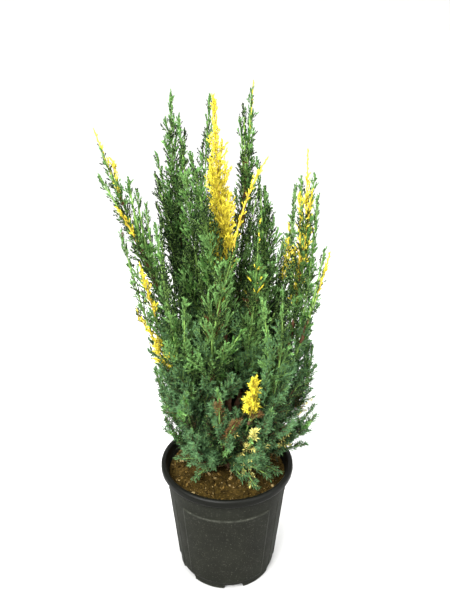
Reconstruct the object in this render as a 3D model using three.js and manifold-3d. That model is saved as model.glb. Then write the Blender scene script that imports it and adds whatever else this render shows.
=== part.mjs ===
// A young variegated stricta juniper in a round black nursery pot.
// Many steep plumes rise from one short trunk, with a dense skirt of needle foliage round its foot.
// Millimetres, +Z up. The origin is the middle of the pot's flat underside, and -Y is the front.
import * as THREE from "three";
import { mergeVertices } from "three/addons/utils/BufferGeometryUtils.js";
import Module from "manifold-3d";

const wasm = await Module();
wasm.setup();

// Pot
const POT_HEIGHT = 180;
const RIM_RADIUS = 100;
const RIM_DEPTH = 11;
const RIM_WIDTH = 8;
const COLLAR_RADIUS = 91.5;
const BASE_RADIUS = 74;
const WALL = 2;
const FLOOR = 2.5;
const POT_SIDES = 36;
const COLLAR_FOOT = 140;
const PANEL_FOOT = 12;
const PANEL_PROUD = 1.2;
const PANEL_COUNT = 3;
const PANEL_HALF_DEG = 44;
const PANEL_MIDDLE_DEG = -91;
const NOTCH_COUNT = 6;
const NOTCH_HEIGHT = 7;
const NOTCH_WIDTH = 28;
const NOTCH_DEPTH = 15;
const NOTCH_BEARING_DEG = -82;

// Soil
const SOIL_MIDDLE = 167;
const SOIL_EDGE = 161;
const SOIL_SIDES = 24;

// Wood
const TRUNK_TOP = [-3, 5, 352];
const TRUNK_RADIUS = 9;
const TRUNK_TIP_RADIUS = 3.4;
const FLARE_RADIUS = 13;
const FLARE_HEIGHT = 14;
const BOUGH_RADIUS = 4.4;
const STOUT_GIRTH = 27;
const TWIG_RADIUS = 0.8;
const BOUGH_SIDES = 5;
const STEM_SIDES = 4;
const TRUNK_SIDES = 10;
const TRUNK_STEPS = 10;
const TRUNK_SUNK = 5;
const BOUGH_STEPS = 4;
const STEM_STEPS = 6;
const SLIVER = 0.12;
const CLEARANCE = 0.3;
const SOIL_CLEARANCE = 0.6;
const FOLIAGE_CLEARANCE = 1.5;

// Foliage
const SEED = 11;
const AXIS_STEPS = 12;
const LEAST_GIRTH = 4;
const SPACE_MARGIN = 0.7;
const SPACE_SLACK = 9;
const CORE_SHARE = 0.36;
const CORE_GIRTH = 26;
const CORE_FOOT = 0.05;
const CORE_TOP = 0.6;
const CORE_SKIN = 0.6;
const CORE_GAP = 1.5;
const CORE_SIDES = 5;
const CORE_RINGS = 4;
const SPRAY_PITCH = 41;
const SKIRT_PITCH = 30;
const SPRAY_WIDTH = 0.22;
const SPRAY_THICKNESS = 0.045;
const SPRAY_LONGEST = 100;
const SPRAY_SHORTEST = 30;
const SPRAY_SIZES = [1, 0.82, 0.66];
const SPRAY_TURNS = [0, 100, -100];
const SPRAY_LEAN_LOW = 24;
const SPRAY_LEAN_TOP = 13;
const SPRAY_RISE = 0.2;
const SKIRT_RISE = 1;
const SPRAY_LAST = 0.86;
const SPRAY_LOOSENESS = 0.5;
const SPRAY_ROLL_DEG = 100;
const BELLY = 0.3;
const FOOT_GIRTH = 0.7;
const TIP_TAPER = 0.6;
const LIMB_TAPER = 1.1;
const GOLDEN_DEG = 137.508;

const GREEN = { color: 0x4c7a4b, roughness: 0.75, metalness: 0 };
const YELLOW = { color: 0xeed555, roughness: 0.7, metalness: 0 };
const BARK = { color: 0x6b4128, roughness: 0.85, metalness: 0 };
const SOIL = { color: 0x4a3322, roughness: 0.95, metalness: 0 };
const PLASTIC = { color: 0x2b2d2b, roughness: 0.6, metalness: 0 };

// Each plume: its bearing in degrees from +X towards +Y, its reach from the middle of the pot and the
// height of its top; the height of the fork where it leaves the trunk; its elbow, as a share of the
// reach and a height, and the turn of the elbow about the trunk; its girth, which is the radius of
// its foliage; and the share of its way that is a bare bough.
const PLUMES = {
  far_left: [191, 160, 654, 200, 0.38, 341, 1, 31, 0.3],
  left_outer: [188, 137, 532, 188, 0.69, 286, 6, 22, 0.34],
  left_gold: [205, 120, 498, 196, 0.54, 246, 0, 24, 0.34],
  back_left: [146, 88, 700, 238, 1.09, 435, 2, 27, 0.32],
  left_leader: [162, 65, 670, 262, 0.6, 401, 7, 25, 0.28],
  front_light: [214, 54, 625, 276, 0.28, 488, 8, 25, 0.26],
  centre_dark: [108, 74, 698, 272, 1.2, 446, 16, 25, 0.34],
  centre_gold: [139, 23, 693, 352, 0.37, 440, 5, 25, 0],
  tall_right: [56, 60, 713, 250, 1.01, 349, 22, 25, 0.3],
  gold_whip: [349, 51, 622, 330, 0.23, 560, -39, 11, 0.3],
  right_back: [44, 72, 578, 226, 1.13, 402, -9, 30, 0.32],
  inner_right: [314, 56, 555, 286, 1.1, 315, -12, 25, 0.28],
  front_centre: [278, 86, 532, 214, 1.2, 376, -34, 27, 0.3],
  right_gold: [0, 100, 630, 206, 1.13, 274, -6, 25, 0.38],
  right_outer: [350, 116, 574, 194, 0.97, 227, 5, 22, 0.34],
  far_right: [343, 136, 509, 184, 0.61, 235, 11, 21, 0.34],
  right_inner: [23, 100, 582, 218, 1.05, 250, 14, 24, 0.34],
  front_right: [307, 107, 476, 202, 1.07, 264, 6, 27, 0.26],
  front_left: [222, 112, 550, 210, 0.71, 245, -4, 26, 0.26],
  back_mid: [96, 104, 600, 222, 0.86, 300, 0, 28, 0.3],
  back_right: [62, 112, 540, 200, 0.8, 270, 0, 27, 0.3],
  back_outer: [127, 116, 560, 206, 0.78, 275, 0, 27, 0.3],
};

// The skirt's short shoots spring from the foot of the trunk.
const SKIRT = {
  skirt_front: [262, 88, 342, 182, 0.75, 208, 0, 40, 0],
  skirt_front_left: [234, 96, 330, 186, 0.75, 204, 0, 40, 0],
  skirt_front_right: [303, 104, 312, 186, 0.8, 206, 0, 40, 0],
  gold_cone: [286, 98, 364, 190, 0.9, 245, 0, 18, 0.3],
  skirt_right: [354, 118, 368, 182, 1, 240, 0, 38, 0],
  skirt_right_low: [345, 128, 272, 178, 0.8, 190, 0, 34, 0],
  skirt_back_right: [38, 112, 322, 186, 0.75, 206, 0, 40, 0],
  skirt_back: [80, 104, 336, 180, 0.75, 206, 0, 40, 0],
  skirt_back_left: [124, 106, 326, 184, 0.75, 206, 0, 40, 0],
  skirt_left: [176, 104, 325, 182, 0.78, 206, 0, 40, 0],
  skirt_left_low: [204, 94, 270, 178, 0.7, 192, 0, 32, 0],
};

const GOLD = ["left_gold", "centre_gold", "gold_whip", "right_gold", "gold_cone"];

const radians = THREE.MathUtils.degToRad;
const group = new THREE.Group();

// A repeatable number from 0 to 1: the n-th choice of the plume with this seed.
function chance(seed, n) {
  let t = (Math.imul(seed + 1, 0x9e3779b1) + Math.imul(n + 1, 0x6d2b79f5)) | 0;
  t = Math.imul(t ^ (t >>> 15), t | 1);
  t ^= t + Math.imul(t ^ (t >>> 7), t | 61);
  return ((t ^ (t >>> 14)) >>> 0) / 4294967296;
}

// A closed geometry as a solid, with its shared corners merged.
function solid(geometry) {
  const bare = new THREE.BufferGeometry();
  bare.setAttribute("position", geometry.getAttribute("position"));
  if (geometry.index) bare.setIndex(geometry.index);
  const merged = mergeVertices(bare, 1e-4);
  return new wasm.Manifold(
    new wasm.Mesh({
      numProp: 3,
      vertProperties: new Float32Array(merged.attributes.position.array),
      triVerts: new Uint32Array(merged.index.array),
    }),
  );
}

// The largest body of a solid: loose scraps and sealed hollows are dropped.
function mainBody(made) {
  return made.decompose().reduce((best, body) => (body.volume() > best.volume() ? body : best));
}

function addNode(name, made, finish) {
  const mesh = made.getMesh();
  const geometry = new THREE.BufferGeometry();
  geometry.setAttribute("position", new THREE.BufferAttribute(mesh.vertProperties, 3));
  geometry.setIndex(new THREE.BufferAttribute(mesh.triVerts, 1));
  geometry.computeVertexNormals();
  const node = new THREE.Mesh(geometry, new THREE.MeshStandardMaterial(finish));
  node.name = name;
  group.add(node);
}

// A solid turned from a profile of [radius, height] points, upright.
function turned(profile, sides) {
  const points = profile.map(([radius, height]) => new THREE.Vector2(radius, height));
  return new THREE.LatheGeometry(points, sides).rotateX(Math.PI / 2);
}

// Pot

// How far the panels stand proud at this bearing: 1 on a panel and 0 on the flutes between them.
function panelShare(bearing) {
  const pitch = (2 * Math.PI) / PANEL_COUNT;
  const turn = bearing - radians(PANEL_MIDDLE_DEG);
  const off = Math.abs(turn - pitch * Math.round(turn / pitch));
  const edge = radians(360 / POT_SIDES);
  return THREE.MathUtils.clamp((radians(PANEL_HALF_DEG) + edge / 2 - off) / edge, 0, 1);
}

function coneRadius(height) {
  return THREE.MathUtils.lerp(BASE_RADIUS, COLLAR_RADIUS, height / (POT_HEIGHT - RIM_DEPTH));
}

function makePot() {
  const lip = POT_HEIGHT - RIM_DEPTH;
  const inner = (height) => coneRadius(height) - WALL;
  const geometry = turned(
    [
      [0, 0],
      [BASE_RADIUS, 0],
      [coneRadius(PANEL_FOOT), PANEL_FOOT],
      [coneRadius(PANEL_FOOT + 4), PANEL_FOOT + 4],
      [coneRadius(COLLAR_FOOT - 4), COLLAR_FOOT - 4],
      [coneRadius(COLLAR_FOOT), COLLAR_FOOT],
      [COLLAR_RADIUS, lip],
      [RIM_RADIUS - 1, lip],
      [RIM_RADIUS, lip + 2],
      [RIM_RADIUS, POT_HEIGHT - 2],
      [RIM_RADIUS - 2, POT_HEIGHT],
      [RIM_RADIUS - RIM_WIDTH + 2, POT_HEIGHT],
      [inner(lip) + 1, lip - 2],
      [inner(FLOOR), FLOOR],
      [0, FLOOR],
    ],
    POT_SIDES,
  );
  const place = geometry.getAttribute("position");
  for (let i = 0; i < place.count; i++) {
    const z = place.getZ(i);
    const radius = Math.hypot(place.getX(i), place.getY(i));
    const onPanel = z > PANEL_FOOT + 2 && z < COLLAR_FOOT - 2 && radius > coneRadius(z) - WALL / 2;
    if (!onPanel) continue;
    const share = panelShare(Math.atan2(place.getY(i), place.getX(i)));
    const grown = 1 + (PANEL_PROUD * share) / radius;
    place.setXY(i, place.getX(i) * grown, place.getY(i) * grown);
  }
  return notches(0).reduce((pot, notch) => pot.subtract(notch), solid(geometry));
}

// The drainage notches round the corner of the base, grown by a gap.
function notches(gap) {
  return Array.from({ length: NOTCH_COUNT }, (_, i) => {
    const bearing = radians(NOTCH_BEARING_DEG + (360 / NOTCH_COUNT) * i);
    const sizes = [2 * NOTCH_DEPTH, NOTCH_WIDTH, 2 * NOTCH_HEIGHT].map((size) => size + 2 * gap);
    const block = new THREE.BoxGeometry(...sizes);
    block.translate(BASE_RADIUS, 0, 0).rotateZ(bearing);
    return solid(block);
  });
}

// The soil fills the pot, clear of its wall, and dips a little towards the rim.
function makeSoil() {
  const inside = (height) => coneRadius(height) - WALL - SOIL_CLEARANCE;
  const bottom = FLOOR + CLEARANCE;
  const geometry = turned(
    [
      [0, bottom],
      [inside(bottom), bottom],
      [inside(SOIL_EDGE), SOIL_EDGE],
      [inside(SOIL_EDGE) - 22, SOIL_EDGE + 4],
      [FLARE_RADIUS + 14, SOIL_MIDDLE],
      [0, SOIL_MIDDLE],
    ],
    SOIL_SIDES,
  );
  return notches(CLEARANCE).reduce((soil, notch) => soil.subtract(notch), solid(geometry));
}

// Wood

// The way along a curve: its place, its direction, and two directions across it. across lies level,
// at right angles to the bearing of the limb, and out points away from the trunk.
function station(limb, share) {
  const at = limb.curve.getPoint(share);
  const along = limb.curve.getTangent(share);
  const across = new THREE.Vector3(-Math.sin(limb.bearing), Math.cos(limb.bearing), 0);
  across.addScaledVector(along, -across.dot(along)).normalize();
  return { at, along, across, out: new THREE.Vector3().crossVectors(across, along) };
}

// A closed tube along a stretch of a limb's curve. radiusAt gives the radius at each share of the
// stretch, from 0 to 1, and each angle.
function tube(limb, from, to, radiusAt, sides, steps) {
  const geometry = new THREE.CylinderGeometry(1, 1, 1, sides, steps);
  const place = geometry.getAttribute("position");
  for (let i = 0; i < place.count; i++) {
    const share = place.getY(i) + 0.5;
    const angle = Math.atan2(place.getX(i), place.getZ(i));
    const onAxis = Math.hypot(place.getX(i), place.getZ(i)) < 0.5;
    const { at, across, out } = station(limb, from + (to - from) * share);
    if (!onAxis) {
      const radius = radiusAt(share, angle);
      at.addScaledVector(out, radius * Math.sin(angle)).addScaledVector(across, -radius * Math.cos(angle));
    }
    place.setXYZ(i, at.x, at.y, at.z);
  }
  return solid(geometry);
}

const trunkLimb = {
  curve: new THREE.QuadraticBezierCurve3(
    new THREE.Vector3(0, 0, SOIL_MIDDLE - TRUNK_SUNK),
    new THREE.Vector3(2, -2, SOIL_MIDDLE + 90),
    new THREE.Vector3(...TRUNK_TOP),
  ),
  bearing: Math.PI / 2,
};

function trunkRadius(share) {
  const climb = share * (TRUNK_TOP[2] - SOIL_MIDDLE);
  const flare = Math.max(0, 1 - climb / FLARE_HEIGHT);
  const taper = THREE.MathUtils.lerp(TRUNK_RADIUS, TRUNK_TIP_RADIUS, share);
  return taper + (FLARE_RADIUS - TRUNK_RADIUS) * flare ** 2;
}

// The share of the trunk's curve at which it passes a height.
function trunkShare(height) {
  let low = 0;
  let high = 1;
  for (let i = 0; i < 30; i++) {
    const middle = (low + high) / 2;
    if (trunkLimb.curve.getPoint(middle).z < height) low = middle;
    else high = middle;
  }
  return low;
}

// The axis of a plume, from the middle of the trunk to its top.
function plumeAxis(plume) {
  const polar = (bearing, reach, height) =>
    new THREE.Vector3(reach * Math.cos(bearing), reach * Math.sin(bearing), height);
  const bearing = radians(plume.bearing);
  const elbowBearing = bearing + radians(plume.swing);
  const curve = new THREE.QuadraticBezierCurve3(
    trunkLimb.curve.getPoint(trunkShare(plume.fork)),
    polar(elbowBearing, plume.reach * plume.spread, plume.elbow),
    polar(bearing, plume.reach, plume.top),
  );
  return { curve, bearing };
}

// Foliage

// The radius of a plume's foliage at a share of its leafy part: it swells to a belly and tapers to
// its tip.
function girthAt(girth, share) {
  const rise = Math.sin((Math.PI * Math.min(1, share / BELLY)) / 2);
  const swell = THREE.MathUtils.lerp(FOOT_GIRTH, 1, rise);
  const taper = share < BELLY ? 1 : Math.pow((1 - share) / (1 - BELLY), TIP_TAPER);
  return Math.max(LEAST_GIRTH, girth * swell * taper);
}

const plumes = Object.entries({ ...PLUMES, ...SKIRT }).map(([name, row], index) => {
  const [bearing, reach, top, fork, spread, elbow, swing, girth, bare] = row;
  const limb = plumeAxis({ bearing, reach, top, fork, spread, elbow, swing });
  const leafShare = (share) => bare + (1 - bare) * share;
  const shares = Array.from({ length: AXIS_STEPS + 1 }, (_, i) => i / AXIS_STEPS);
  const points = shares.map((share) => limb.curve.getPoint(leafShare(share)));
  const girths = shares.map((share) => girthAt(girth, share));
  const length = limb.curve.getLength() * (1 - bare);
  const low = name in SKIRT;
  const sprays = Math.round(length / (low ? SKIRT_PITCH : SPRAY_PITCH));
  const rise = low ? SKIRT_RISE : SPRAY_RISE;
  return { name, girth, bare, limb, seed: SEED + index, leafShare, points, girths, length, sprays, rise };
});

// How near a point is to a plume's axis, as a share of the plume's girth there, with the girth.
const hop = new THREE.Line3();
const foot = new THREE.Vector3();
function nearness(point, plume) {
  let best = { share: Infinity, girth: 1 };
  for (let i = 0; i < AXIS_STEPS; i++) {
    hop.set(plume.points[i], plume.points[i + 1]);
    const t = hop.closestPointToPointParameter(point, true);
    const girth = THREE.MathUtils.lerp(plume.girths[i], plume.girths[i + 1], t);
    const share = hop.at(t, foot).distanceTo(point) / girth;
    if (share < best.share) best = { share, girth };
  }
  return best;
}

// Whether a point is in a plume's own space: nearer to its axis than to any other, for their girths,
// and clear of the pot and the soil.
function inOwnSpace(point, plume) {
  const radius = Math.hypot(point.x, point.y);
  const nearRim = radius > RIM_RADIUS - RIM_WIDTH - 2 * FOLIAGE_CLEARANCE;
  if (point.z < (nearRim ? POT_HEIGHT : SOIL_MIDDLE) + FOLIAGE_CLEARANCE) return false;
  const own = nearness(point, plume);
  if (own.share * own.girth > own.girth + SPACE_SLACK) return false;
  const edge = own.share + SPACE_MARGIN / own.girth;
  return plumes.every((other) => other === plume || nearness(point, other).share > edge);
}

// A toothed blade that stands for a spray of needles: two pairs of teeth and a tip, with a peak in the
// middle of each flat side. It grows from root along heading, and its sides face flat.
function sprayBlade(root, heading, flat, length) {
  const half = length * SPRAY_WIDTH;
  const side = new THREE.Vector3().crossVectors(flat, heading).normalize();
  const corners = [];
  const corner = ([along, wide], high = 0) => {
    const at = root.clone().addScaledVector(heading, along * length);
    return corners.push(at.addScaledVector(side, wide * half).addScaledVector(flat, high * length)) - 1;
  };
  const edge = [[0, 0], [0.4, 1], [0.5, 0.46], [0.72, 0.74], [1, 0]];
  const back = edge.slice(1, -1).reverse();
  const outline = [...edge, ...back.map(([along, wide]) => [along, -wide])].map((point) => corner(point));
  const faces = [];
  outline.forEach((start, i) => {
    const end = outline[(i + 1) % outline.length];
    faces.push([end, start, "over"], [start, end, "under"]);
  });
  const peaks = { over: corner([0.44, 0], SPRAY_THICKNESS), under: corner([0.44, 0], -SPRAY_THICKNESS) };
  const geometry = new THREE.BufferGeometry().setFromPoints(corners);
  geometry.setIndex(faces.flatMap(([start, end, peak]) => [start, end, peaks[peak]]));
  const samples = outline.slice(1).map((i) => corners[i]);
  return { geometry, samples };
}

// The radius of a plume's limb along the whole of its curve, foot to tip.
function limbRadius(plume, share) {
  const stout = BOUGH_RADIUS * Math.sqrt(plume.girth / STOUT_GIRTH);
  return TWIG_RADIUS + (stout - TWIG_RADIUS) * Math.pow(1 - share, LIMB_TAPER);
}

function limbTube(plume, from, to, sides, steps, gap) {
  const radiusAt = (share) => limbRadius(plume, from + (to - from) * share) + gap;
  return tube(plume.limb, from, to, radiusAt, sides, steps);
}

// A dense core round the lower part of a stem, kept inside the plume's own space.
function makeCore(plume) {
  const from = plume.leafShare(CORE_FOOT);
  const to = plume.leafShare(CORE_TOP);
  const reachAt = (share, angle) => {
    const along = from + (to - from) * share;
    const { at, across, out } = station(plume.limb, along);
    const girth = girthAt(plume.girth, CORE_TOP * share);
    const widest = CORE_SHARE * girth * Math.sqrt(Math.sin(Math.PI * share));
    const least = limbRadius(plume, along) + CORE_SKIN;
    let radius = least;
    for (let next = least + 1; next <= widest; next += 1) {
      const probe = at.clone().addScaledVector(out, (next + CORE_GAP) * Math.sin(angle));
      probe.addScaledVector(across, -(next + CORE_GAP) * Math.cos(angle));
      if (!inOwnSpace(probe, plume)) break;
      radius = next;
    }
    return radius;
  };
  return tube(plume.limb, from, to, reachAt, CORE_SIDES, CORE_RINGS);
}

// The k-th spray of a plume. The sprays wind up its stem by the golden angle, lean out as far as its
// girth and turn up a little; turn takes this one further round the stem.
function spray(plume, k, turn) {
  const share = (SPRAY_LAST * (k + SPRAY_LOOSENESS * chance(plume.seed, 4 * k))) / plume.sprays;
  const { at, along, across, out } = station(plume.limb, plume.leafShare(share));
  const azimuth = radians(GOLDEN_DEG * k + 360 * chance(plume.seed, 1001) + turn);
  const lean = radians(THREE.MathUtils.lerp(SPRAY_LEAN_LOW, SPRAY_LEAN_TOP, share));
  const radial = out.clone().multiplyScalar(Math.cos(azimuth)).addScaledVector(across, Math.sin(azimuth));
  let length = SPRAY_LONGEST;
  for (let i = 0; i < 4; i++) {
    const ahead = Math.min(1, share + (length * Math.cos(lean)) / plume.length);
    length = (length + Math.min(SPRAY_LONGEST, girthAt(plume.girth, ahead) / Math.sin(lean))) / 2;
  }
  length = Math.max(SPRAY_SHORTEST, length * (0.9 + 0.3 * chance(plume.seed, 4 * k + 2)));
  const heading = along.clone().multiplyScalar(Math.cos(lean)).addScaledVector(radial, Math.sin(lean));
  heading.z += plume.rise * (1 - share);
  heading.normalize();
  const flat = radial.clone().addScaledVector(heading, -radial.dot(heading)).normalize();
  flat.applyAxisAngle(heading, radians(SPRAY_ROLL_DEG * (chance(plume.seed, 4 * k + 1) - 0.5)));
  return { root: at, heading, flat, length };
}

// The spray that ends a plume at its tip.
function tipSpray(plume) {
  const root = plume.limb.curve.getPoint(plume.leafShare(SPRAY_LAST));
  const heading = plume.limb.curve.getPoint(1).sub(root);
  const length = heading.length();
  heading.normalize();
  const flat = station(plume.limb, 1).out.applyAxisAngle(heading, radians(180 * chance(plume.seed, 1002)));
  flat.addScaledVector(heading, -flat.dot(heading)).normalize();
  return { root, heading, flat, length };
}

// Whether a solid keeps clear of every solid in a list.
function clearOf(made, others) {
  const box = made.boundingBox();
  return others.every((other) => {
    const apart = [0, 1, 2].some(
      (k) => box.min[k] > other.box.max[k] + CLEARANCE || other.box.min[k] > box.max[k] + CLEARANCE,
    );
    return apart || made.minGap(other.made, 2 * CLEARANCE) > CLEARANCE * 0.9;
  });
}

// The pot, the soil and the trunk

const placed = [];
const place = (made, owner) => placed.push({ made, owner, box: made.boundingBox() });

const pot = makePot();
const soil = makeSoil();
const trunkTube = tube(trunkLimb, 0, 1, trunkRadius, TRUNK_SIDES, TRUNK_STEPS);
const trunk = trunkTube.trimByPlane([0, 0, 1], SOIL_MIDDLE + CLEARANCE);
addNode("pot", pot, PLASTIC);
addNode("soil", soil, SOIL);
addNode("trunk", trunk, BARK);
place(pot, "pot");
place(soil, "soil");
place(trunk, "trunk");

// The boughs: each is cut back to stand clear of the trunk and of the boughs before it

const grownTrunk = (share) => trunkRadius(share) + CLEARANCE;
let wood = tube(trunkLimb, 0, 1, grownTrunk, TRUNK_SIDES, TRUNK_STEPS);
for (const plume of plumes.filter((each) => each.bare > 0)) {
  const limb = (gap) => limbTube(plume, 0, plume.bare, BOUGH_SIDES, BOUGH_STEPS, gap);
  const bough = mainBody(limb(0).subtract(wood)).simplify(SLIVER);
  wood = wood.add(limb(CLEARANCE));
  addNode(`bough_${plume.name}`, bough, BARK);
  place(bough, `bough_${plume.name}`);
}

// The leafy stems, each cut clear of all the wood before it

const stems = plumes.map((plume) => {
  const from = plume.leafShare(CLEARANCE / plume.length);
  const limb = (gap) => limbTube(plume, from, 1, STEM_SIDES, STEM_STEPS, gap);
  const stem = mainBody(limb(0).subtract(wood)).simplify(SLIVER);
  wood = wood.add(limb(CLEARANCE));
  place(stem, plume.name);
  return stem;
});

// The masses: each stem takes a core and its sprays, those that keep clear of every other piece

plumes.forEach((plume, index) => {
  const others = () => placed.filter((each) => each.owner !== plume.name);
  const pieces = [stems[index]];
  const core = plume.girth > CORE_GIRTH ? makeCore(plume) : null;
  if (core && clearOf(core, others())) {
    pieces.push(core);
    place(core, plume.name);
  }
  // A spray goes in at the first turn and size that keep it in its plume's space and clear.
  const fit = (plans) => {
    for (const { root, heading, flat, length } of plans) {
      const { geometry, samples } = sprayBlade(root, heading, flat, length);
      if (!samples.every((point) => inOwnSpace(point, plume))) continue;
      const blade = solid(geometry);
      if (!clearOf(blade, others())) continue;
      pieces.push(blade);
      place(blade, plume.name);
      return;
    }
  };
  const sized = (plan) => SPRAY_SIZES.map((size) => ({ ...plan, length: size * plan.length }));
  fit(sized(tipSpray(plume)));
  for (let k = 0; k < plume.sprays; k++) {
    fit(SPRAY_TURNS.map((turn) => spray(plume, k, turn)).flatMap(sized));
  }
  const mass = mainBody(wasm.Manifold.union(pieces)).simplify(SLIVER);
  addNode(`foliage_${plume.name}`, mass, GOLD.includes(plume.name) ? YELLOW : GREEN);
});

export default group;
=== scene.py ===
"""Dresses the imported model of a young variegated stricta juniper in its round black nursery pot.

The shape functions work in millimetres and put_mesh turns them to metres. The origin is the middle
of the pot's underside, +Z is up and -Y is the front.
"""

import math
from types import SimpleNamespace

import bpy
import numpy as np
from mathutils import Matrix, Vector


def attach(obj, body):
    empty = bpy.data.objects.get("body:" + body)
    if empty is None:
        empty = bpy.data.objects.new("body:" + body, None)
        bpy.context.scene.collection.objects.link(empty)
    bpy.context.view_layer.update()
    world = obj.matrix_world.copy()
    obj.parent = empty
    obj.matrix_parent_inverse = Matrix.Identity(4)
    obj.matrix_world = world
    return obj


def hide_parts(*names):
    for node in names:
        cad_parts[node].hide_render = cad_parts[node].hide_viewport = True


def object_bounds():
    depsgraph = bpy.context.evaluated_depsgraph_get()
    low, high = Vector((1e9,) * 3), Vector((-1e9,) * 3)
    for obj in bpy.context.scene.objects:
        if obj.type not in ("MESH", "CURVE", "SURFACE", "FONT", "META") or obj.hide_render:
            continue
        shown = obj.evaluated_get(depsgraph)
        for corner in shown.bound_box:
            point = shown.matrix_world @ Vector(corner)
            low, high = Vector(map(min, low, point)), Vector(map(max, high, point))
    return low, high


bl_info = {
    "name": "Potted variegated juniper",
    "version": (1, 0, 0),
    "blender": (4, 5, 0),
    "location": "View3D > Sidebar > Juniper",
    "description": "Grows a variegated stricta juniper in a nursery pot round its packed model",
    "category": "Add Mesh",
}

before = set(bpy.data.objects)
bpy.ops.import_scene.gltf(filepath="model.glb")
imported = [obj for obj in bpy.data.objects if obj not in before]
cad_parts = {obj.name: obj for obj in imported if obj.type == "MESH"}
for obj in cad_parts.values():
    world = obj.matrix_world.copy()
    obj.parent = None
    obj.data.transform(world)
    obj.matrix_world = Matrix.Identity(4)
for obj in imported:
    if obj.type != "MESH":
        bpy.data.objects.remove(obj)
CAD_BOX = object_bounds()
MM = 0.001
ALL_32_BITS = 2.0**32

# Pot, as in the source but for the foot of the panels
POT_HEIGHT = 180
RIM_RADIUS = 100
COLLAR_RADIUS = 91.5
BASE_RADIUS = 74
WALL = 2
LIP_HEIGHT = 169
PANEL_FOOT = 14
PANEL_TOP = 138
PANEL_COUNT = 3
PANEL_HALF_DEG = 44
PANEL_MIDDLE_DEG = -91
NOTCH_COUNT = 6
NOTCH_HEIGHT = 7
NOTCH_WIDTH = 28
NOTCH_INNER_RADIUS = 59
NOTCH_BEARING_DEG = -82

# Pot, left to this script: the half width of a panel's sloped edge, the widths of the bead and the rib,
# and the rows of the profile that a notch bends in
PANEL_SLOPE = 0.9
BEAD_WIDTH = 1.3
RIB_WIDTH = 1.4
NOTCH_ROWS = slice(4, 14)
POT_COLUMNS = 384

# Soil, with the distance between its lumps and the share of their height for each size of lump
SOIL_MIDDLE = 167
SOIL_EDGE = 161
SOIL_GAP = 0.6
SOIL_BOTTOM = 11
SOIL_COLUMNS = 240
SOIL_LUMPS = ((19, 0.5), (7, 0.38), (3, 0.26), (1.7, 0.14))
STONE_RINGS = 7
STONE_SIDES = 10

# Wood, as in the source but for the taper of the boughs
TRUNK_CURVE = ((0, 0, 162), (2, -2, 257), (-3, 5, 352))
TRUNK_RADIUS = 9
TRUNK_TIP_RADIUS = 3.4
FLARE_RADIUS = 13
FLARE_HEIGHT = 14
BOUGH_RADIUS = 4.4
STOUT_GIRTH = 27
TWIG_RADIUS = 0.8
LIMB_TAPER = 1.8

# Wood, left to this script: sides round a stem, and the share of a stem by which two pieces lap
TRUNK_SIDES = 56
BOUGH_SIDES = 12
LEADER_SIDES = 7
LAP = 0.005

# Foliage, as in the source
SEED = 11
LEAST_GIRTH = 4
SPRAY_LONGEST = 100
SPRAY_LEAN_LOW = 24
SPRAY_LEAN_TOP = 13
SPRAY_RISE = 0.2
SKIRT_RISE = 1
SPRAY_LOOSENESS = 0.5
BELLY = 0.3
FOOT_GIRTH = 0.7
TIP_TAPER = 0.6
GOLDEN = math.radians(137.508)

# Foliage that the source leaves to this script: shares of a plume's leafy part or of a shoot, lengths
# in millimetres, and turns in radians
LEAFY_FOOT = 0.6
LEAFY_TIP = 0.8
LEAFY_TOP = 0.99
CLOSER_TO_TIP = 1.35
LEADER_EVERY = 4
LEADER_LENGTH = 1.25
SHOOT_LENGTH = 0.9
SHORTEST_SHOOT = 5
FLATTENING = 0.7
REACH_SHARE = 1.08
BRANCHLET_REACH = 4
TWIG_BEARING = 15
TWIG_PITCH = 8.5
TWIG_LENGTHS = (7, 32)
MOST_BRANCHLETS = 14
BRANCHLET_RADIUS = 0.42
AZIMUTH_SPREAD = 0.3
UPTURN = np.array([0, 0, 0.12])
NEEDLES_PER_MM = 1.03
OLD_NEEDLE_SHARE = 0.8
NEEDLES_IN_PIECE = 90000
RIND_FROM = 0.3
GOLD_RIND_FROM = 0.25

# How far twigs and branchlets lean out, in degrees, at the foot and at the tip of the shoot
TWIG_LEANS = (42, 28)
BRANCHLET_LEANS = (44, 28)

# Pairs for the upper plumes and for the foot of the plant, and the heights between which the foot's
# habit gives way to the plumes'
TWIG_SPREADS = (0.35, 0.7)
BRANCHLET_PITCHES = (5.6, 6.5)
BRANCHLET_SPREADS = (0.6, 1.2)
BRANCHLET_SHARES = (0.4, 0.42)
BRANCHLET_LONGEST = (12, 16)
NEEDLE_LEANS = (20, 54)
FOOT_HEIGHTS = (270, 430)

# How the kinds of needle are dealt out: the share of the shoots that get each, and the heights
# between which one share eases into another. The light green belt is painted light, and the extra
# dark green at the back, on inward shoots and low down is painted shade.
GREEN_SHARE = 0.75
BELT_LIGHT_SHARE = 0.35
BELT_FOOT = (290, 350)
BELT_TOP = (430, 520)
DARK_SHARE = 0.22
BACK_DARK_SHARES = (0.55, 0.25)
BACK_DARK_HEIGHTS = (450, 600)
BLUE_SHARE = 0.85
BLUE_HEIGHTS = (300, 470)
INNER_DARK_SHARE = 0.7
INNER_DARK_BELOW = 560
LOW_DARK_SHARE = 0.18
LOW_DARK_BELOW = 330
DEAD_SHARE = 0.01
OWN_KIND_SHARE = 0.85

# Camera, in metres and degrees, with its lens and sensor in millimetres
CAMERA_PLACE = (-0.0031, -0.650, 0.649)
CAMERA_TILT_DEG = 18.4
LENS = 30
SENSOR = 36

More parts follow.
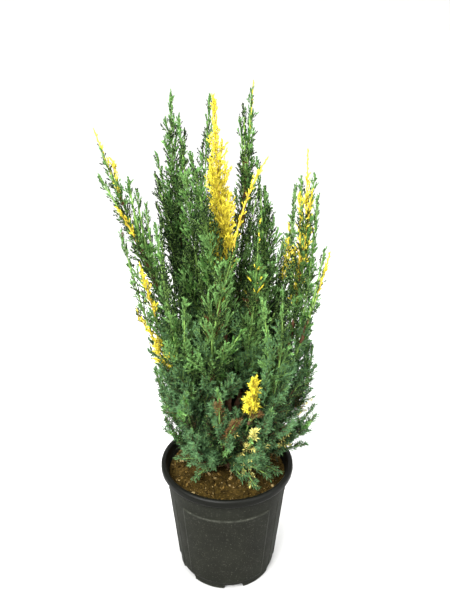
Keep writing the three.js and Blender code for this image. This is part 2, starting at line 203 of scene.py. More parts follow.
# Each plume: its bearing in degrees from +X towards +Y, its reach and the height of its top; the
# height of its fork; its elbow, as a share of the reach and a height, and the turn of the elbow; its
# girth; and the share of its way that is a bare bough. Six of them run up to 9 mm beside the source's.
PLUMES = {
    "far_left": (191, 160, 654, 200, 0.38, 341, 1, 31, 0.3),
    "left_outer": (188, 137, 532, 188, 0.69, 286, 6, 22, 0.34),
    "left_gold": (205, 120, 498, 196, 0.54, 246, 0, 24, 0.34),
    "back_left": (146, 88, 700, 238, 1.09, 435, 2, 27, 0.32),
    "left_leader": (162, 65, 670, 262, 0.6, 401, 7, 25, 0.28),
    "front_light": (214, 54, 625, 276, 0.28, 488, 8, 25, 0.26),
    "centre_dark": (108, 74, 698, 272, 1.2, 446, 16, 25, 0.34),
    "centre_gold": (139, 23, 693, 352, 0.37, 440, -20, 25, 0),
    "tall_right": (56, 60, 713, 250, 1.01, 349, 22, 25, 0.3),
    "gold_whip": (349, 51, 622, 330, 0.25, 533, -124, 11, 0.3),
    "right_back": (44, 72, 578, 226, 1.13, 402, -9, 30, 0.32),
    "inner_right": (314, 56, 555, 286, 1.1, 315, -12, 25, 0.28),
    "front_centre": (278, 86, 532, 214, 1.2, 376, -34, 27, 0.3),
    "right_gold": (0, 100, 630, 206, 1.13, 274, -6, 25, 0.38),
    "right_outer": (350, 114, 574, 194, 0.94, 227, 5, 22, 0.34),
    "far_right": (343, 134, 509, 184, 0.59, 235, 11, 21, 0.34),
    "right_inner": (23, 100, 582, 218, 1.05, 250, 14, 24, 0.34),
    "front_right": (307, 107, 476, 202, 1.07, 264, 6, 27, 0.26),
    "front_left": (222, 112, 550, 210, 0.71, 245, -4, 26, 0.26),
    "back_mid": (96, 104, 600, 222, 0.86, 300, 0, 28, 0.3),
    "back_right": (62, 112, 540, 200, 0.8, 270, 0, 27, 0.3),
    "back_outer": (127, 116, 560, 206, 0.78, 275, 0, 27, 0.3),
}
SKIRT = {
    "skirt_front": (262, 88, 342, 182, 0.75, 208, 0, 40, 0),
    "skirt_front_left": (234, 96, 330, 186, 0.75, 204, 0, 40, 0),
    "skirt_front_right": (303, 104, 312, 186, 0.8, 206, 0, 40, 0),
    "gold_cone": (290, 98, 359, 190, 0.9, 245, 0, 18, 0.3),
    "skirt_right": (354, 118, 368, 182, 1, 240, 0, 38, 0),
    "skirt_right_low": (345, 128, 272, 178, 0.68, 200, 0, 34, 0),
    "skirt_back_right": (38, 112, 322, 186, 0.75, 206, 0, 40, 0),
    "skirt_back": (80, 104, 336, 180, 0.75, 206, 0, 40, 0),
    "skirt_back_left": (124, 106, 326, 184, 0.75, 206, 0, 40, 0),
    "skirt_left": (176, 104, 325, 182, 0.78, 206, 0, 40, 0),
    "skirt_left_low": (204, 94, 270, 178, 0.7, 192, 0, 32, 0),
}

# Where a plume is variegated: the stretch of its leafy part, from 0 at the foot to 1 at the tip; the
# bearing of the middle of the patch and its half width, in degrees; the share of the sprays there
# that are coloured, or of the single branchlets where it is less than a half; and their kind of needle.
PATCHES = {
    "far_left": [(0.83, 0.985, 0, 60, 0.7, "yellow"), (0.97, 1, 0, 180, 1, "yellow")],
    "left_gold": [(0.42, 0.64, 205, 80, 0.85, "yellow"), (0.76, 1, 0, 180, 0.85, "yellow")],
    "centre_gold": [(0, 1, 0, 180, 1, "yellow")],
    "gold_whip": [(0, 1, 0, 180, 1, "yellow")],
    "gold_cone": [(0.62, 1, 0, 180, 1, "yellow")],
    "tall_right": [(0.93, 1, 0, 180, 1, "yellow")],
    "right_gold": [(0.58, 0.8, 0, 180, 0.3, "yellow"), (0.8, 1, 0, 180, 0.9, "yellow")],
    "far_right": [(0.82, 1, 0, 180, 0.8, "yellow")],
    "inner_right": [(0.6, 1, 0, 180, 0.1, "yellow")],
    "right_inner": [(0.55, 0.85, 200, 80, 0.5, "yellow")],
    "droop_right": [(0.3, 1, 0, 180, 0.35, "cream")],
    "skirt_front_right": [(0.15, 0.5, 270, 70, 0.3, "cream")],
    "skirt_right": [(0.2, 0.7, 330, 60, 0.2, "cream")],
    "skirt_right_low": [(0.1, 0.6, 290, 70, 0.3, "cream")],
    "skirt_front": [(0.5, 0.8, 300, 40, 0.15, "cream")],
}

# A plume with its own habit: where its shoots start along its leafy part, how much further apart than
# usual they stand, how much more they lean out, how much wider the plume is, and the share of its
# leafy part where its bare whip of a tip begins.
HABITS = {
    "gold_cone": (0.62, 0.2, 2.6, 1.25, 1),
    "gold_whip": (0.35, 1.5, 1, 0.4, 0.85),
    "centre_gold": (0.4, 0.55, 1.1, 1.25, 1),
    "far_left": (-0.3, 1, 1.1, 0.8, 0.96),
    "left_outer": (-0.3, 1, 1, 0.62, 0.98),
    "left_gold": (-0.3, 0.8, 1, 0.95, 0.96),
    "back_left": (-0.3, 0.8, 1, 0.95, 0.99),
    "centre_dark": (-0.3, 1, 1, 0.9, 0.99),
    "tall_right": (-0.3, 0.85, 1.1, 0.88, 0.92),
    "right_back": (-0.3, 0.8, 1, 1.1, 1),
    "back_mid": (-0.3, 0.75, 1, 1.3, 1),
    "back_right": (-0.3, 0.8, 1, 1.2, 1),
    "right_gold": (0.38, 1, 1.1, 1.1, 0.93),
    "right_inner": (-0.3, 0.75, 1, 1.1, 1),
    "far_right": (-0.3, 1, 1, 0.6, 0.95),
    "right_outer": (-0.3, 0.7, 1, 0.85, 1),
    "skirt_right_low": (0, 1, 1.2, 0.75, 1),
    "skirt_right": (0, 1, 1.15, 0.7, 1),
    "skirt_left": (0, 0.85, 1, 0.62, 1),
    "skirt_left_low": (0, 1, 1, 0.75, 1),
    "left_gap_dark": (0, 0.6, 1.2, 1.2, 1),
    "skirt_tip_3": (0, 0.6, 1.2, 1, 1),
    "skirt_tip_4": (0, 0.6, 1.2, 1, 1),
    "skirt_tip_5": (0, 0.5, 1.4, 1.1, 1),
    "droop_left": (0, 0.5, 1.8, 1.6, 1),
    "droop_right": (0, 0.5, 1.8, 1.6, 1),
    "droop_middle": (0, 0.5, 1.8, 1.4, 1),
    "droop_far_right": (0, 0.5, 1.6, 1.3, 1),
    "droop_mid_right": (0, 0.5, 1.6, 1.3, 1),
    "droop_far_left": (0, 0.5, 1.6, 1.3, 1),
    "dead_spray_right": (0.2, 0.35, 1.6, 1.1, 1),
    "dead_spray_middle": (0.3, 0.5, 1.6, 1, 1),
    "dead_spray_left": (0.3, 0.5, 1.6, 1, 1),
}

# Side leaders that the source leaves out: the plume each springs from and the share of its leafy part
# there; the bearing, reach and height of the leader's tip; its girth; and its kind of needle.
LEADERS = {
    "far_left_low": ("far_left", 0.62, 190, 158, 599, 9, "green"),
    "far_left_sun": ("far_left", 0.79, 188, 141, 617, 7, "yellow"),
    "far_left_gold": ("far_left", 0.64, 197, 138, 561, 9, "yellow"),
    "left_gold_spray": ("left_gold", 0.3, 201, 125, 431, 8, "yellow"),
    "far_left_inner": ("far_left", 0.58, 198, 124, 596, 9, "green"),
    "far_left_mid": ("far_left", 0.5, 193, 114, 582, 12, "green"),
    "far_left_right": ("far_left", 0.4, 192, 104, 564, 12, "green"),
    "back_left_edge": ("back_left", 0.2, 155, 105, 623, 15, "green"),
    "back_left_dark": ("back_left", 0.1, 168, 96, 598, 16, "dark"),
    "tall_right_left": ("tall_right", 0.6, 72, 55, 667, 9, "green"),
    "tall_right_green": ("tall_right", 0.7, 58, 59, 703, 12, "green"),
    "tall_right_mid": ("tall_right", 0.65, 67, 54, 682, 12, "dark"),
    "tall_right_right": ("tall_right", 0.3, 44, 60, 579, 15, "dark"),
    "back_left_low": ("back_left", 0, 166, 97, 560, 20, "dark"),
    "back_left_inner": ("back_left", 0.4, 139, 74, 652, 12, "dark"),
    "left_gap_dark": ("left_gold", 0.05, 187, 86, 545, 13, "dark"),
    "right_back_tall": ("right_back", 0.4, 50, 62, 615, 14, "green"),
    "right_gold_right": ("right_gold", 0.58, 357, 110, 599, 8, "green"),
    "right_gold_left": ("right_gold", 0.6, 2, 94, 593, 8, "green"),
    "right_gold_gold": ("right_gold", 0.55, 356, 107, 577, 10, "yellow"),
    "right_gold_sun": ("right_gold", 0.42, 1, 93, 577, 8, "yellow"),
    "right_gold_low": ("right_gold", 0.3, 355, 107, 545, 13, "green"),
    "right_inner_dark": ("right_inner", 0.05, 18, 98, 448, 14, "dark"),
    "right_back_low": ("right_back", 0.05, 48, 95, 469, 19, "dark"),
    "right_fill": ("right_inner", 0, 29, 86, 450, 17, "dark"),
    "right_fill_low": ("skirt_back_right", 0.5, 36, 105, 418, 17, "blue"),
    "far_right_green": ("far_right", 0.6, 343, 127, 511, 10, "green"),
    "skirt_tip_high": ("skirt_right", 0.6, 5, 110, 385, 12, "blue"),
    "skirt_tip_1": ("skirt_right", 0.5, 355, 113, 370, 10, "blue"),
    "skirt_tip_2": ("skirt_right", 0.35, 358, 121, 317, 11, "blue"),
    "skirt_tip_3": ("skirt_right_low", 0.5, 354, 125, 276, 15, "blue"),
    "skirt_tip_4": ("skirt_right_low", 0.3, 351, 118, 238, 15, "blue"),
    "skirt_tip_5": ("skirt_right_low", 0.15, 350, 115, 216, 17, "blue"),
    "left_tip_high": ("skirt_left", 0.5, 188, 96, 330, 10, "blue"),
    "left_tip_mid": ("skirt_left", 0.35, 191, 96, 298, 10, "blue"),
    "left_tip_low": ("skirt_left_low", 0.35, 195, 92, 244, 11, "blue"),
    "front_tip_1": ("front_centre", 0.1, 259, 97, 430, 14, "light"),
    "front_tip_2": ("front_left", 0.1, 237, 95, 459, 14, "light"),
    "front_tip_3": ("front_right", 0.1, 296, 94, 461, 14, "light"),
    "front_tip_4": ("front_centre", 0.05, 282, 97, 427, 14, "green"),
    "cream_spray": ("skirt_front_right", 0.05, 289, 106, 290, 10, "cream"),
    "droop_left": ("skirt_front_left", 0.05, 224, 64, 176, 12, "blue"),
    "droop_right": ("skirt_front_right", 0.05, 303, 72, 176, 11, "blue"),
    "droop_middle": ("skirt_front", 0.02, 296, 52, 178, 10, "blue"),
    "droop_far_right": ("skirt_right_low", 0.08, 331, 84, 184, 14, "blue"),
    "droop_mid_right": ("skirt_front_right", 0.08, 320, 78, 184, 13, "blue"),
    "droop_far_left": ("skirt_left_low", 0.08, 190, 74, 186, 12, "blue"),
    "dead_spray_right": ("gold_cone", 0.5, 293, 104, 312, 8, "dead"),
    "dead_spray_middle": ("skirt_front", 0.4, 277, 101, 305, 9, "dead"),
    "dead_spray_left": ("skirt_front", 0.6, 264, 100, 328, 7, "dead"),
}

# The plumes at the back, where more needles are dark green as painted shade, and the kinds of needle
BACK = ("back_left", "centre_dark", "tall_right", "right_back", "back_mid", "back_right", "back_outer")
KINDS = ("green", "dark", "blue", "light", "yellow", "cream", "dead")


def linear(code):
    """The linear colour of an sRGB hex value."""
    parts = [int(code[i : i + 2], 16) / 255 for i in (0, 2, 4)]
    return tuple(p / 12.92 if p <= 0.04045 else ((p + 0.055) / 1.055) ** 2.4 for p in parts)


def colour(name, text, code):
    """A setting that is a colour, from its sRGB hex value."""
    return bpy.props.FloatVectorProperty(
        name=name, description=text, subtype="COLOR", size=3, min=0, max=1, default=linear(code)
    )


def length(name, text, millimetres):
    """A setting that is a length, from millimetres."""
    return bpy.props.FloatProperty(
        name=name, description=text, default=millimetres * MM, min=0, precision=4,
        unit="LENGTH", subtype="DISTANCE",
    )


def power(name, text, watts):
    """A setting that is a light's power."""
    return bpy.props.FloatProperty(name=name, description=text, default=watts, min=0, unit="POWER")


class PotSettings(bpy.types.PropertyGroup):
    panel_proud: length("Panel", "How far the three panels stand proud of the wall", 1.2)
    bead_proud: length("Bead", "How far the bead round each panel stands proud", 0.6)
    plastic: colour("Plastic", "Carbon-black recycled polypropylene", "11120d")
    # Pale grey of real wear at the foot of the pot, and of a painted highlight along the top of the lip and
    # on the beads and ribs
    worn_and_highlit: colour("Worn edge", "Plastic rubbed pale along an edge", "4c4e45")
    fleck: colour("Fleck", "Pale flecks in the recycled plastic", "30302a")


class SoilSettings(bpy.types.PropertyGroup):
    lumps: length("Lumps", "Height of the lumps in the surface", 4)
    crumb_size: length("Crumb", "Usual size of a loose crumb", 1.3)
    peat: colour("Peat", "Moist peat and composted bark", "251c06")
    chip: colour("Chip", "Dry bark chips", "443517")
    stone: colour("Stone", "Pale gravel and clay lumps", "68593a")


class WoodSettings(bpy.types.PropertyGroup):
    relief: length("Relief", "Depth of the furrows in the bark of the trunk", 0.9)
    bark: colour("Bark", "Red-brown shredding bark", "432d1d")
    strip: colour("Strip", "Grey-brown weathered strips of bark", "66503c")
    green_shoot: colour("Green shoot", "Rind of this year's shoots", "627f3e")
    gold_shoot: colour("Gold shoot", "Rind of the variegated shoots", "a08a30")


class FoliageSettings(bpy.types.PropertyGroup):
    shoot_pitch: length("Shoot pitch", "Way along a plume from one side shoot to the next", 6)
    needle_length: length("Needle", "Length of a needle in the upper plumes", 3.2)
    low_needle_length: length("Low needle", "Length of a needle at the foot of the plant", 5.8)
    needle_width: length("Needle width", "Width of a needle in the upper plumes", 1.8)
    low_needle_width: length("Low needle width", "Width of a needle at the foot of the plant", 1.45)
    green: colour("Green", "Mid-green needles", "375b27")
    # Dark green is painted shade: needles at the back, inside, low down, at the foot of sprays and on some
    # leaders set behind others
    dark: colour("Dark", "Old dark green needles", "0f1d0d")
    blue: colour("Blue-green", "Bloomed blue-green needles", "3d5939")
    # Light green is partly fresh growth and partly painted light, in a belt half way up and at the ends of
    # sprays
    light: colour("Light green", "Fresh light green needles", "587b44")
    yellow: colour("Yellow", "Variegated butter-yellow needles", "bbae33")
    cream: colour("Cream", "Variegated cream needles", "96904e")
    dead: colour("Dead", "Dead brown needles", "48361e")


class StageSettings(bpy.types.PropertyGroup):
    paper: colour("Paper", "White seamless paper", "868685")
    backdrop_power: power("Backdrop lights", "Power of each light on the backdrop", 310)
    soft_power: power("Soft lights", "Power that the key, fill and top lights take their shares of", 250)


# Arrays


def lerp(start, end, share):
    return start + (end - start) * share


def unit(vectors):
    return vectors / np.maximum(np.linalg.norm(vectors, axis=-1, keepdims=True), 1e-9)


def dot(one, other):
    return np.sum(one * other, axis=-1, keepdims=True)


def cross_frame(along, side):
    """Two directions square to a way: one as near to side as it can be, and one square to both."""
    near = unit(side - dot(side, along) * along)
    return near, np.cross(along, near)


def bearings(count):
    """Even bearings all the way round, in radians."""
    return np.arange(count) * 2 * np.pi / count


def polar(turn, reach, height):
    """The place at a bearing, a distance from the axis and a height."""
    return np.array([reach * math.cos(turn), reach * math.sin(turn), height])


def ease(low, high, value):
    """0 up to low, 1 from high on, and a smooth cubic between them."""
    share = np.clip((value - low) / (high - low), 0, 1)
    return share * share * (3 - 2 * share)


def mix_bits(*whole):
    """A number from 0 to 1 for each set of whole numbers, by multiplying and folding their bits."""
    total = np.zeros(np.broadcast(*whole).shape, np.uint32)
    for step, number in enumerate(whole):
        total = total * np.uint32(31) + np.asarray(number).astype(np.int64).astype(np.uint32)
        total = (total ^ (total >> np.uint32(15))) * np.uint32(0x2C1B3C6D + 2 * step)
        total = (total ^ (total >> np.uint32(12))) * np.uint32(0x297A2D39)
        total = total ^ (total >> np.uint32(15))
    return total / ALL_32_BITS


def grain(u, v, seed, wrap=None):
    """Value noise from -1 to 1: random values at whole u and v, joined by smooth cubics. It repeats
    after wrap whole steps of u."""
    u0, v0 = np.floor(u), np.floor(v)
    du, dv = ease(0, 1, u - u0), ease(0, 1, v - v0)
    u1 = u0 + 1
    if wrap:
        u0, u1 = u0 % wrap, u1 % wrap
    low = lerp(mix_bits(u0, v0, seed), mix_bits(u1, v0, seed), du)
    high = lerp(mix_bits(u0, v0 + 1, seed), mix_bits(u1, v0 + 1, seed), du)
    return 2 * lerp(low, high, dv) - 1


def chance(seed, number):
    """The source's repeatable choice: a number from 0 to 1 for each whole number."""
    number = np.atleast_1d(number).astype(np.uint32)
    t = np.uint32((seed + 1) * 0x9E3779B1 % 2**32) + (number + np.uint32(1)) * np.uint32(0x6D2B79F5)
    t = (t ^ (t >> np.uint32(15))) * (t | np.uint32(1))
    t = t ^ (t + (t ^ (t >> np.uint32(7))) * (t | np.uint32(61)))
    return (t ^ (t >> np.uint32(14))) / ALL_32_BITS


# Meshes


def put_mesh(name, points, faces, material, slot, replaces=(), smooth=True, values=None):
    """Makes a piece that rides on the root body, from points in millimetres and face arrays, each of
    faces with the same number of corners. values are attributes with a number for each point."""
    mesh = bpy.data.meshes.new(name)
    mesh.vertices.add(len(points))
    mesh.vertices.foreach_set("co", (points * MM).astype(np.float32).ravel())
    corners = np.concatenate([group.ravel() for group in faces]).astype(np.int32)
    sizes = np.concatenate([np.full(len(group), group.shape[1], np.int32) for group in faces])
    mesh.loops.add(len(corners))
    mesh.loops.foreach_set("vertex_index", corners)
    mesh.polygons.add(len(sizes))
    mesh.polygons.foreach_set("loop_start", np.concatenate([[0], np.cumsum(sizes)[:-1]]).astype(np.int32))
    mesh.polygons.foreach_set("use_smooth", np.full(len(sizes), smooth))
    for key, numbers in (values or {}).items():
        attribute = mesh.attributes.new(key, "FLOAT", "POINT")
        attribute.data.foreach_set("value", numbers.astype(np.float32).ravel())
    mesh.update(calc_edges=True)
    mesh.validate()
    mesh.materials.append(material)
    piece = bpy.data.objects.new(name, mesh)
    bpy.context.scene.collection.objects.link(piece)
    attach(piece, "root")
    if replaces:
        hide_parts(*replaces)
    return piece


def lathe(radius, height, turn):
    """Points and faces of a closed turned shape. radius and height are grids of profile rows by
    columns round it, the rows run from the middle of the underside up the outside and back in over
    the top, and turn is the bearing of each column. Each end closes on the axis at its row's height."""
    rows, columns = radius.shape
    ring = np.stack([radius * np.cos(turn), radius * np.sin(turn), height], -1).reshape(-1, 3)
    poles = np.array([[0, 0, height[0].mean()], [0, 0, height[-1].mean()]])
    first = np.arange(columns)
    after = (first + 1) % columns
    low = (np.arange(rows - 1)[:, None] * columns + first).ravel()
    low_after = (np.arange(rows - 1)[:, None] * columns + after).ravel()
    quads = np.stack([low, low_after, low_after + columns, low + columns], 1)
    foot = np.stack([np.full(columns, rows * columns), after, first], 1)
    last = (rows - 1) * columns
    cap = np.stack([np.full(columns, rows * columns + 1), last + first, last + after], 1)
    return np.concatenate([ring, poles]), [quads, foot, cap]


def tubes(centres, radii, sides):
    """Points and faces of closed tubes. centres is tubes by stations by 3, and radii is tubes by
    stations, with one more axis of sides where the tube isn't round. Each ring stands square to the
    way its tube goes there, and its two directions come from one fixed reference, so it hardly
    twists."""
    count, stations = centres.shape[:2]
    along = unit(np.gradient(centres, axis=1))
    reference = np.where(np.abs(along[:, :1, 2:]) > 0.9, [[[1.0, 0.0, 0.0]]], [[[0.0, 0.0, 1.0]]])
    across, over = cross_frame(along, reference)
    angle = bearings(sides)
    ring = np.cos(angle)[:, None] * across[:, :, None] + np.sin(angle)[:, None] * over[:, :, None]
    if radii.ndim == 2:
        radii = radii[..., None]
    points = (centres[:, :, None] + ring * radii[..., None]).reshape(-1, 3)
    base = (np.arange(count) * stations * sides)[:, None, None]
    row = base + (np.arange(stations - 1) * sides)[:, None]
    first = np.arange(sides)
    after = (first + 1) % sides
    a, b = row + first, row + after
    quads = np.stack([a, b, b + sides, a + sides], -1).reshape(-1, 4)
    foot = (base[:, 0] + first[::-1]).reshape(-1, sides)
    cap = (base[:, 0] + (stations - 1) * sides + first).reshape(-1, sides)
    return points, [quads, np.concatenate([foot, cap])]


# Materials


def add(tree, kind, links=None, **settings):
    """Adds a node, sets its own settings by name and its input sockets by links: a socket's name or
    number, with a value, another node's output, or a node for its first output."""
    node = tree.nodes.new(kind)
    for key, value in settings.items():
        setattr(node, key, value)
    for key, value in (links or {}).items():
        if isinstance(value, bpy.types.Node):
            value = value.outputs[0]
        if isinstance(value, bpy.types.NodeSocket):
            tree.links.new(value, node.inputs[key])
        else:
            node.inputs[key].default_value = value
    return node


def rgba(shade, gain=1.0):
    """A colour for a socket, with each of its parts times gain."""
    return (*(min(1.0, part * gain) for part in shade), 1.0)


def blank(name):
    """A new material with only its output node, and the place on the piece in metres."""
    material = bpy.data.materials.new(name)
    material.use_nodes = True
    tree = material.node_tree
    tree.nodes.clear()
    place = add(tree, "ShaderNodeTexCoord").outputs["Object"]
    return material, tree, place


def noise(place, millimetres, detail, roughness=0.5):
    """The links of a noise whose largest lumps are this many millimetres apart."""
    return {"Vector": place, "Scale": 1 / (millimetres * MM), "Detail": detail, "Roughness": roughness}


def drift(tree, pattern, low, high, one, other):
    """One colour where the pattern is up to low, the other where it is from high on, and a straight
    blend between them."""
    share = add(tree, "ShaderNodeMapRange", {"Value": pattern, "From Min": low, "From Max": high})
    return add(tree, "ShaderNodeMix", {0: share, 6: one, 7: other}, data_type="RGBA").outputs[2]


def finish(tree, base, roughness, bump=None, strength=0.3, depth=0.5, **constants):
    """The surface and its output. bump is a height from 0 to 1, and depth is its size in
    millimetres."""
    links = {"Base Color": base, "Roughness": roughness}
    links.update({key.replace("_", " "): value for key, value in constants.items()})
    if bump is not None:
        heights = {"Strength": strength, "Distance": depth * MM, "Height": bump}
        links["Normal"] = add(tree, "ShaderNodeBump", heights)
    surface = add(tree, "ShaderNodeBsdfPrincipled", links)
    add(tree, "ShaderNodeOutputMaterial", {"Surface": surface})


def moulded_polypropylene(pot):
    """Injection-moulded recycled polypropylene: a matt skin with a grain of about a millimetre, pale
    flecks about 2 mm apart where the recycled flakes lie, patches of a centimetre paled grey by real
    wear round the foot and by painted highlight along the top of the lip and on the beads and ribs,
    and a smoother rim, painted darker as painted shade. Its tone and its dust drift over 30 to 45 mm."""
    material, tree, place = blank("moulded_recycled_polypropylene")
    cloud = add(tree, "ShaderNodeTexNoise", noise(place, 45, 3))
    base = drift(tree, cloud, 0.3, 0.7, rgba(pot.plastic, 0.82), rgba(pot.plastic, 1.3))
    flake = add(tree, "ShaderNodeTexNoise", noise(place, 1.9, 1))
    base = drift(tree, flake, 0.62, 0.74, base, rgba(pot.fleck))
    # Patches of pale grey: real wear round the foot, and painted highlight along the lip's top and on the
    # beads and ribs
    rubbed = add(tree, "ShaderNodeTexNoise", noise(place, 9, 3))
    rubbed = add(tree, "ShaderNodeMapRange", {"Value": rubbed, "From Min": 0.25, "From Max": 0.6})
    wear = add(tree, "ShaderNodeAttribute", attribute_name="wear").outputs["Fac"]
    worn_and_highlit = add(tree, "ShaderNodeMath", {0: wear, 1: rubbed}, operation="MULTIPLY")
    base = add(tree, "ShaderNodeMix", {0: worn_and_highlit, 6: base, 7: rgba(pot.worn_and_highlit)}, data_type="RGBA").outputs[2]
    height = add(tree, "ShaderNodeSeparateXYZ", {0: place}).outputs["Z"]
    above_collar = {"Value": height, "From Min": (LIP_HEIGHT - 1) * MM, "From Max": LIP_HEIGHT * MM}
    rim = add(tree, "ShaderNodeMapRange", above_collar)
    # Painted shade: above the foot of the lip the plastic is painted a third as bright as the wall
    painted_rim_shade = {0: rim, 6: base, 7: rgba(pot.plastic, 0.35)}
    base = add(tree, "ShaderNodeMix", painted_rim_shade, data_type="RGBA").outputs[2]
    dust = add(tree, "ShaderNodeTexNoise", noise(place, 30, 4, 0.6))
    dust = add(tree, "ShaderNodeMapRange", {"Value": dust, "From Min": 0.25, "From Max": 0.75})
    rough = add(tree, "ShaderNodeMapRange", {"Value": dust, "To Min": 0.6, "To Max": 0.75})
    smooth = add(tree, "ShaderNodeMapRange", {"Value": rim, "To Min": 1, "To Max": 0.7})
    rough = add(tree, "ShaderNodeMath", {0: rough, 1: smooth}, operation="MULTIPLY")
    skin = add(tree, "ShaderNodeTexNoise", noise(place, 1.2, 2))
    finish(tree, base, rough, skin, 0.25, 0.12, IOR=1.49, Specular_IOR_Level=0.08)
    return material


def peat_mix(soil):
    """Moist peat with composted bark: matt, with painted shade in its hollows, where the noise that sinks
    the bump also darkens the colour, with paler fibres about 3 mm apart and patches of bark 16 mm apart."""
    material, tree, place = blank("peat_and_bark_mix")
    fine = add(tree, "ShaderNodeTexNoise", noise(place, 3.2, 4, 0.65))
    # Painted shade: the noise that sinks the bump below also darkens the colour in the hollows
    base = drift(tree, fine, 0.3, 0.7, rgba(soil.peat, 0.2), rgba(soil.peat, 1.6))
    coarse = add(tree, "ShaderNodeTexNoise", noise(place, 16, 3))
    base = drift(tree, coarse, 0.5, 0.75, base, rgba(soil.chip, 0.7))
    finish(tree, base, 0.95, fine, 0.9, 1.2, Specular_IOR_Level=0.05)
    return material


def crumb(name, shade, spread):
    """Dry loose bits: matt, with a grain of a millimetre, and every 5 mm a little darker or paler."""
    material, tree, place = blank(name)
    tone = add(tree, "ShaderNodeTexNoise", noise(place, 5, 2))
    base = drift(tree, tone, 0.3, 0.7, rgba(shade, 1 - spread), rgba(shade, 1 + spread))
    pits = add(tree, "ShaderNodeTexNoise", noise(place, 0.9, 2))
    finish(tree, base, 0.9, pits, 0.5, 0.3, Specular_IOR_Level=0.06)
    return material


def shredding_bark(wood):
    """Juniper bark: thin red-brown bark that splits lengthwise and peels in grey-brown strips. The
    pattern is stretched ten times along the stems, and a fibre is about 1.2 mm wide."""
    material, tree, place = blank("shredding_juniper_bark")
    stretched = add(tree, "ShaderNodeMapping", {"Vector": place, "Scale": (1, 1, 0.1)})
    fibre = add(tree, "ShaderNodeTexNoise", noise(stretched, 1.2, 3, 0.6))
    base = drift(tree, fibre, 0.3, 0.7, rgba(wood.bark, 0.45), rgba(wood.bark, 1.15))
    patch = add(tree, "ShaderNodeTexNoise", noise(place, 14, 2))
    base = drift(tree, patch, 0.52, 0.72, base, rgba(wood.strip, 0.8))
    finish(tree, base, 0.88, fibre, 0.7, 0.5, Specular_IOR_Level=0.08)
    return material


def young_rind(name, shade):
    """The smooth rind of a young shoot, half matt, with paler and darker joints about 7 mm apart."""
    material, tree, place = blank(name)
    joint = add(tree, "ShaderNodeTexNoise", noise(place, 7, 2))
    base = drift(tree, joint, 0.35, 0.65, rgba(shade, 0.72), rgba(shade, 1.12))
    finish(tree, base, 0.6, joint, 0.2, 0.2, Specular_IOR_Level=0.1)
    return material


def waxy_needle(name, shade, warm):
    """A juniper needle: a thin waxy skin, half matt, with a soft light from the bloom. The tone
    drifts over about 18 mm, from spray to spray, and a few needles lean to a warmer colour."""
    material, tree, place = blank(name)
    tone = add(tree, "ShaderNodeTexNoise", noise(place, 18, 2))
    base = drift(tree, tone, 0.3, 0.7, rgba(shade, 0.74), rgba(shade, 1.12))
    speck = add(tree, "ShaderNodeTexNoise", noise(place, 3.5, 1))
    base = drift(tree, speck, 0.5, 0.85, base, rgba(warm))
    finish(tree, base, 0.55, Specular_IOR_Level=0.07)
    return material


def seamless_paper(stage):
    """White seamless paper: matt, with the faintest mottle of its pulp."""
    material, tree, place = blank("seamless_paper")
    pulp = add(tree, "ShaderNodeTexNoise", noise(place, 60, 3))
    mottle = {0: pulp, 6: rgba(stage.paper, 0.985), 7: rgba(stage.paper)}
    base = add(tree, "ShaderNodeMix", mottle, data_type="RGBA").outputs[2]
    finish(tree, base, 0.9, Specular_IOR_Level=0.1)
    return material


# Pot


def wall_radius(height):
    """The outside of the wall: a straight taper from the base to the foot of the lip."""
    return lerp(BASE_RADIUS, COLLAR_RADIUS, np.minimum(height, LIP_HEIGHT) / LIP_HEIGHT)


def off_nearest(turn, count, first_deg):
    """How far a bearing is from the nearest of count even bearings, in radians."""
    pitch = 2 * np.pi / count
    off = turn - math.radians(first_deg)
    return np.abs(off - pitch * np.round(off / pitch))


def pot_profile():
    """Rows of radius and height from the underside, up the wall, round the lip and down inside."""
    under = [(20, 0.9), (40, 0.9), (54, 0.9), (58, 0.5), (62, 0), (66, 0), (70, 0), (72.6, 0)]
    corner = [(73.5, 0.25), (74, 0.9)]
    heights = [2, 3.5, 5, 6.6, 8, 10, 11.6, 12.6, 13.4, 14.2, 15, 16, 18, *range(24, 133, 9)]
    heights += [134, 135.4, 136.2, 137, 137.8, 138.6, 139.6, 141, 146, 152, 158, 163, 166.5]
    wall = [(float(wall_radius(h)), h) for h in heights]
    lip = [
        (91.7, 168), (92.6, 168.8), (94.4, 169), (97.6, 169.1), (99, 169.6), (99.8, 170.7), (100, 172.2),
        (100, 174.4), (99.9, 176.4), (99.5, 178), (98.7, 179.1), (97.6, 179.8), (96.2, 180), (94.8, 179.9),
        (93.6, 179.3), (92.8, 178.2), (92.3, 176.4), (91.6, 172.5), (90.4, 167),
    ]
    inner = [(float(wall_radius(h)) - WALL, h) for h in (160, 140, 110, 80, 50, 30, 18, 12)]
    return np.array([*under, *corner, *wall, *lip, *inner, (71, 10), (50, 10), (25, 10)])


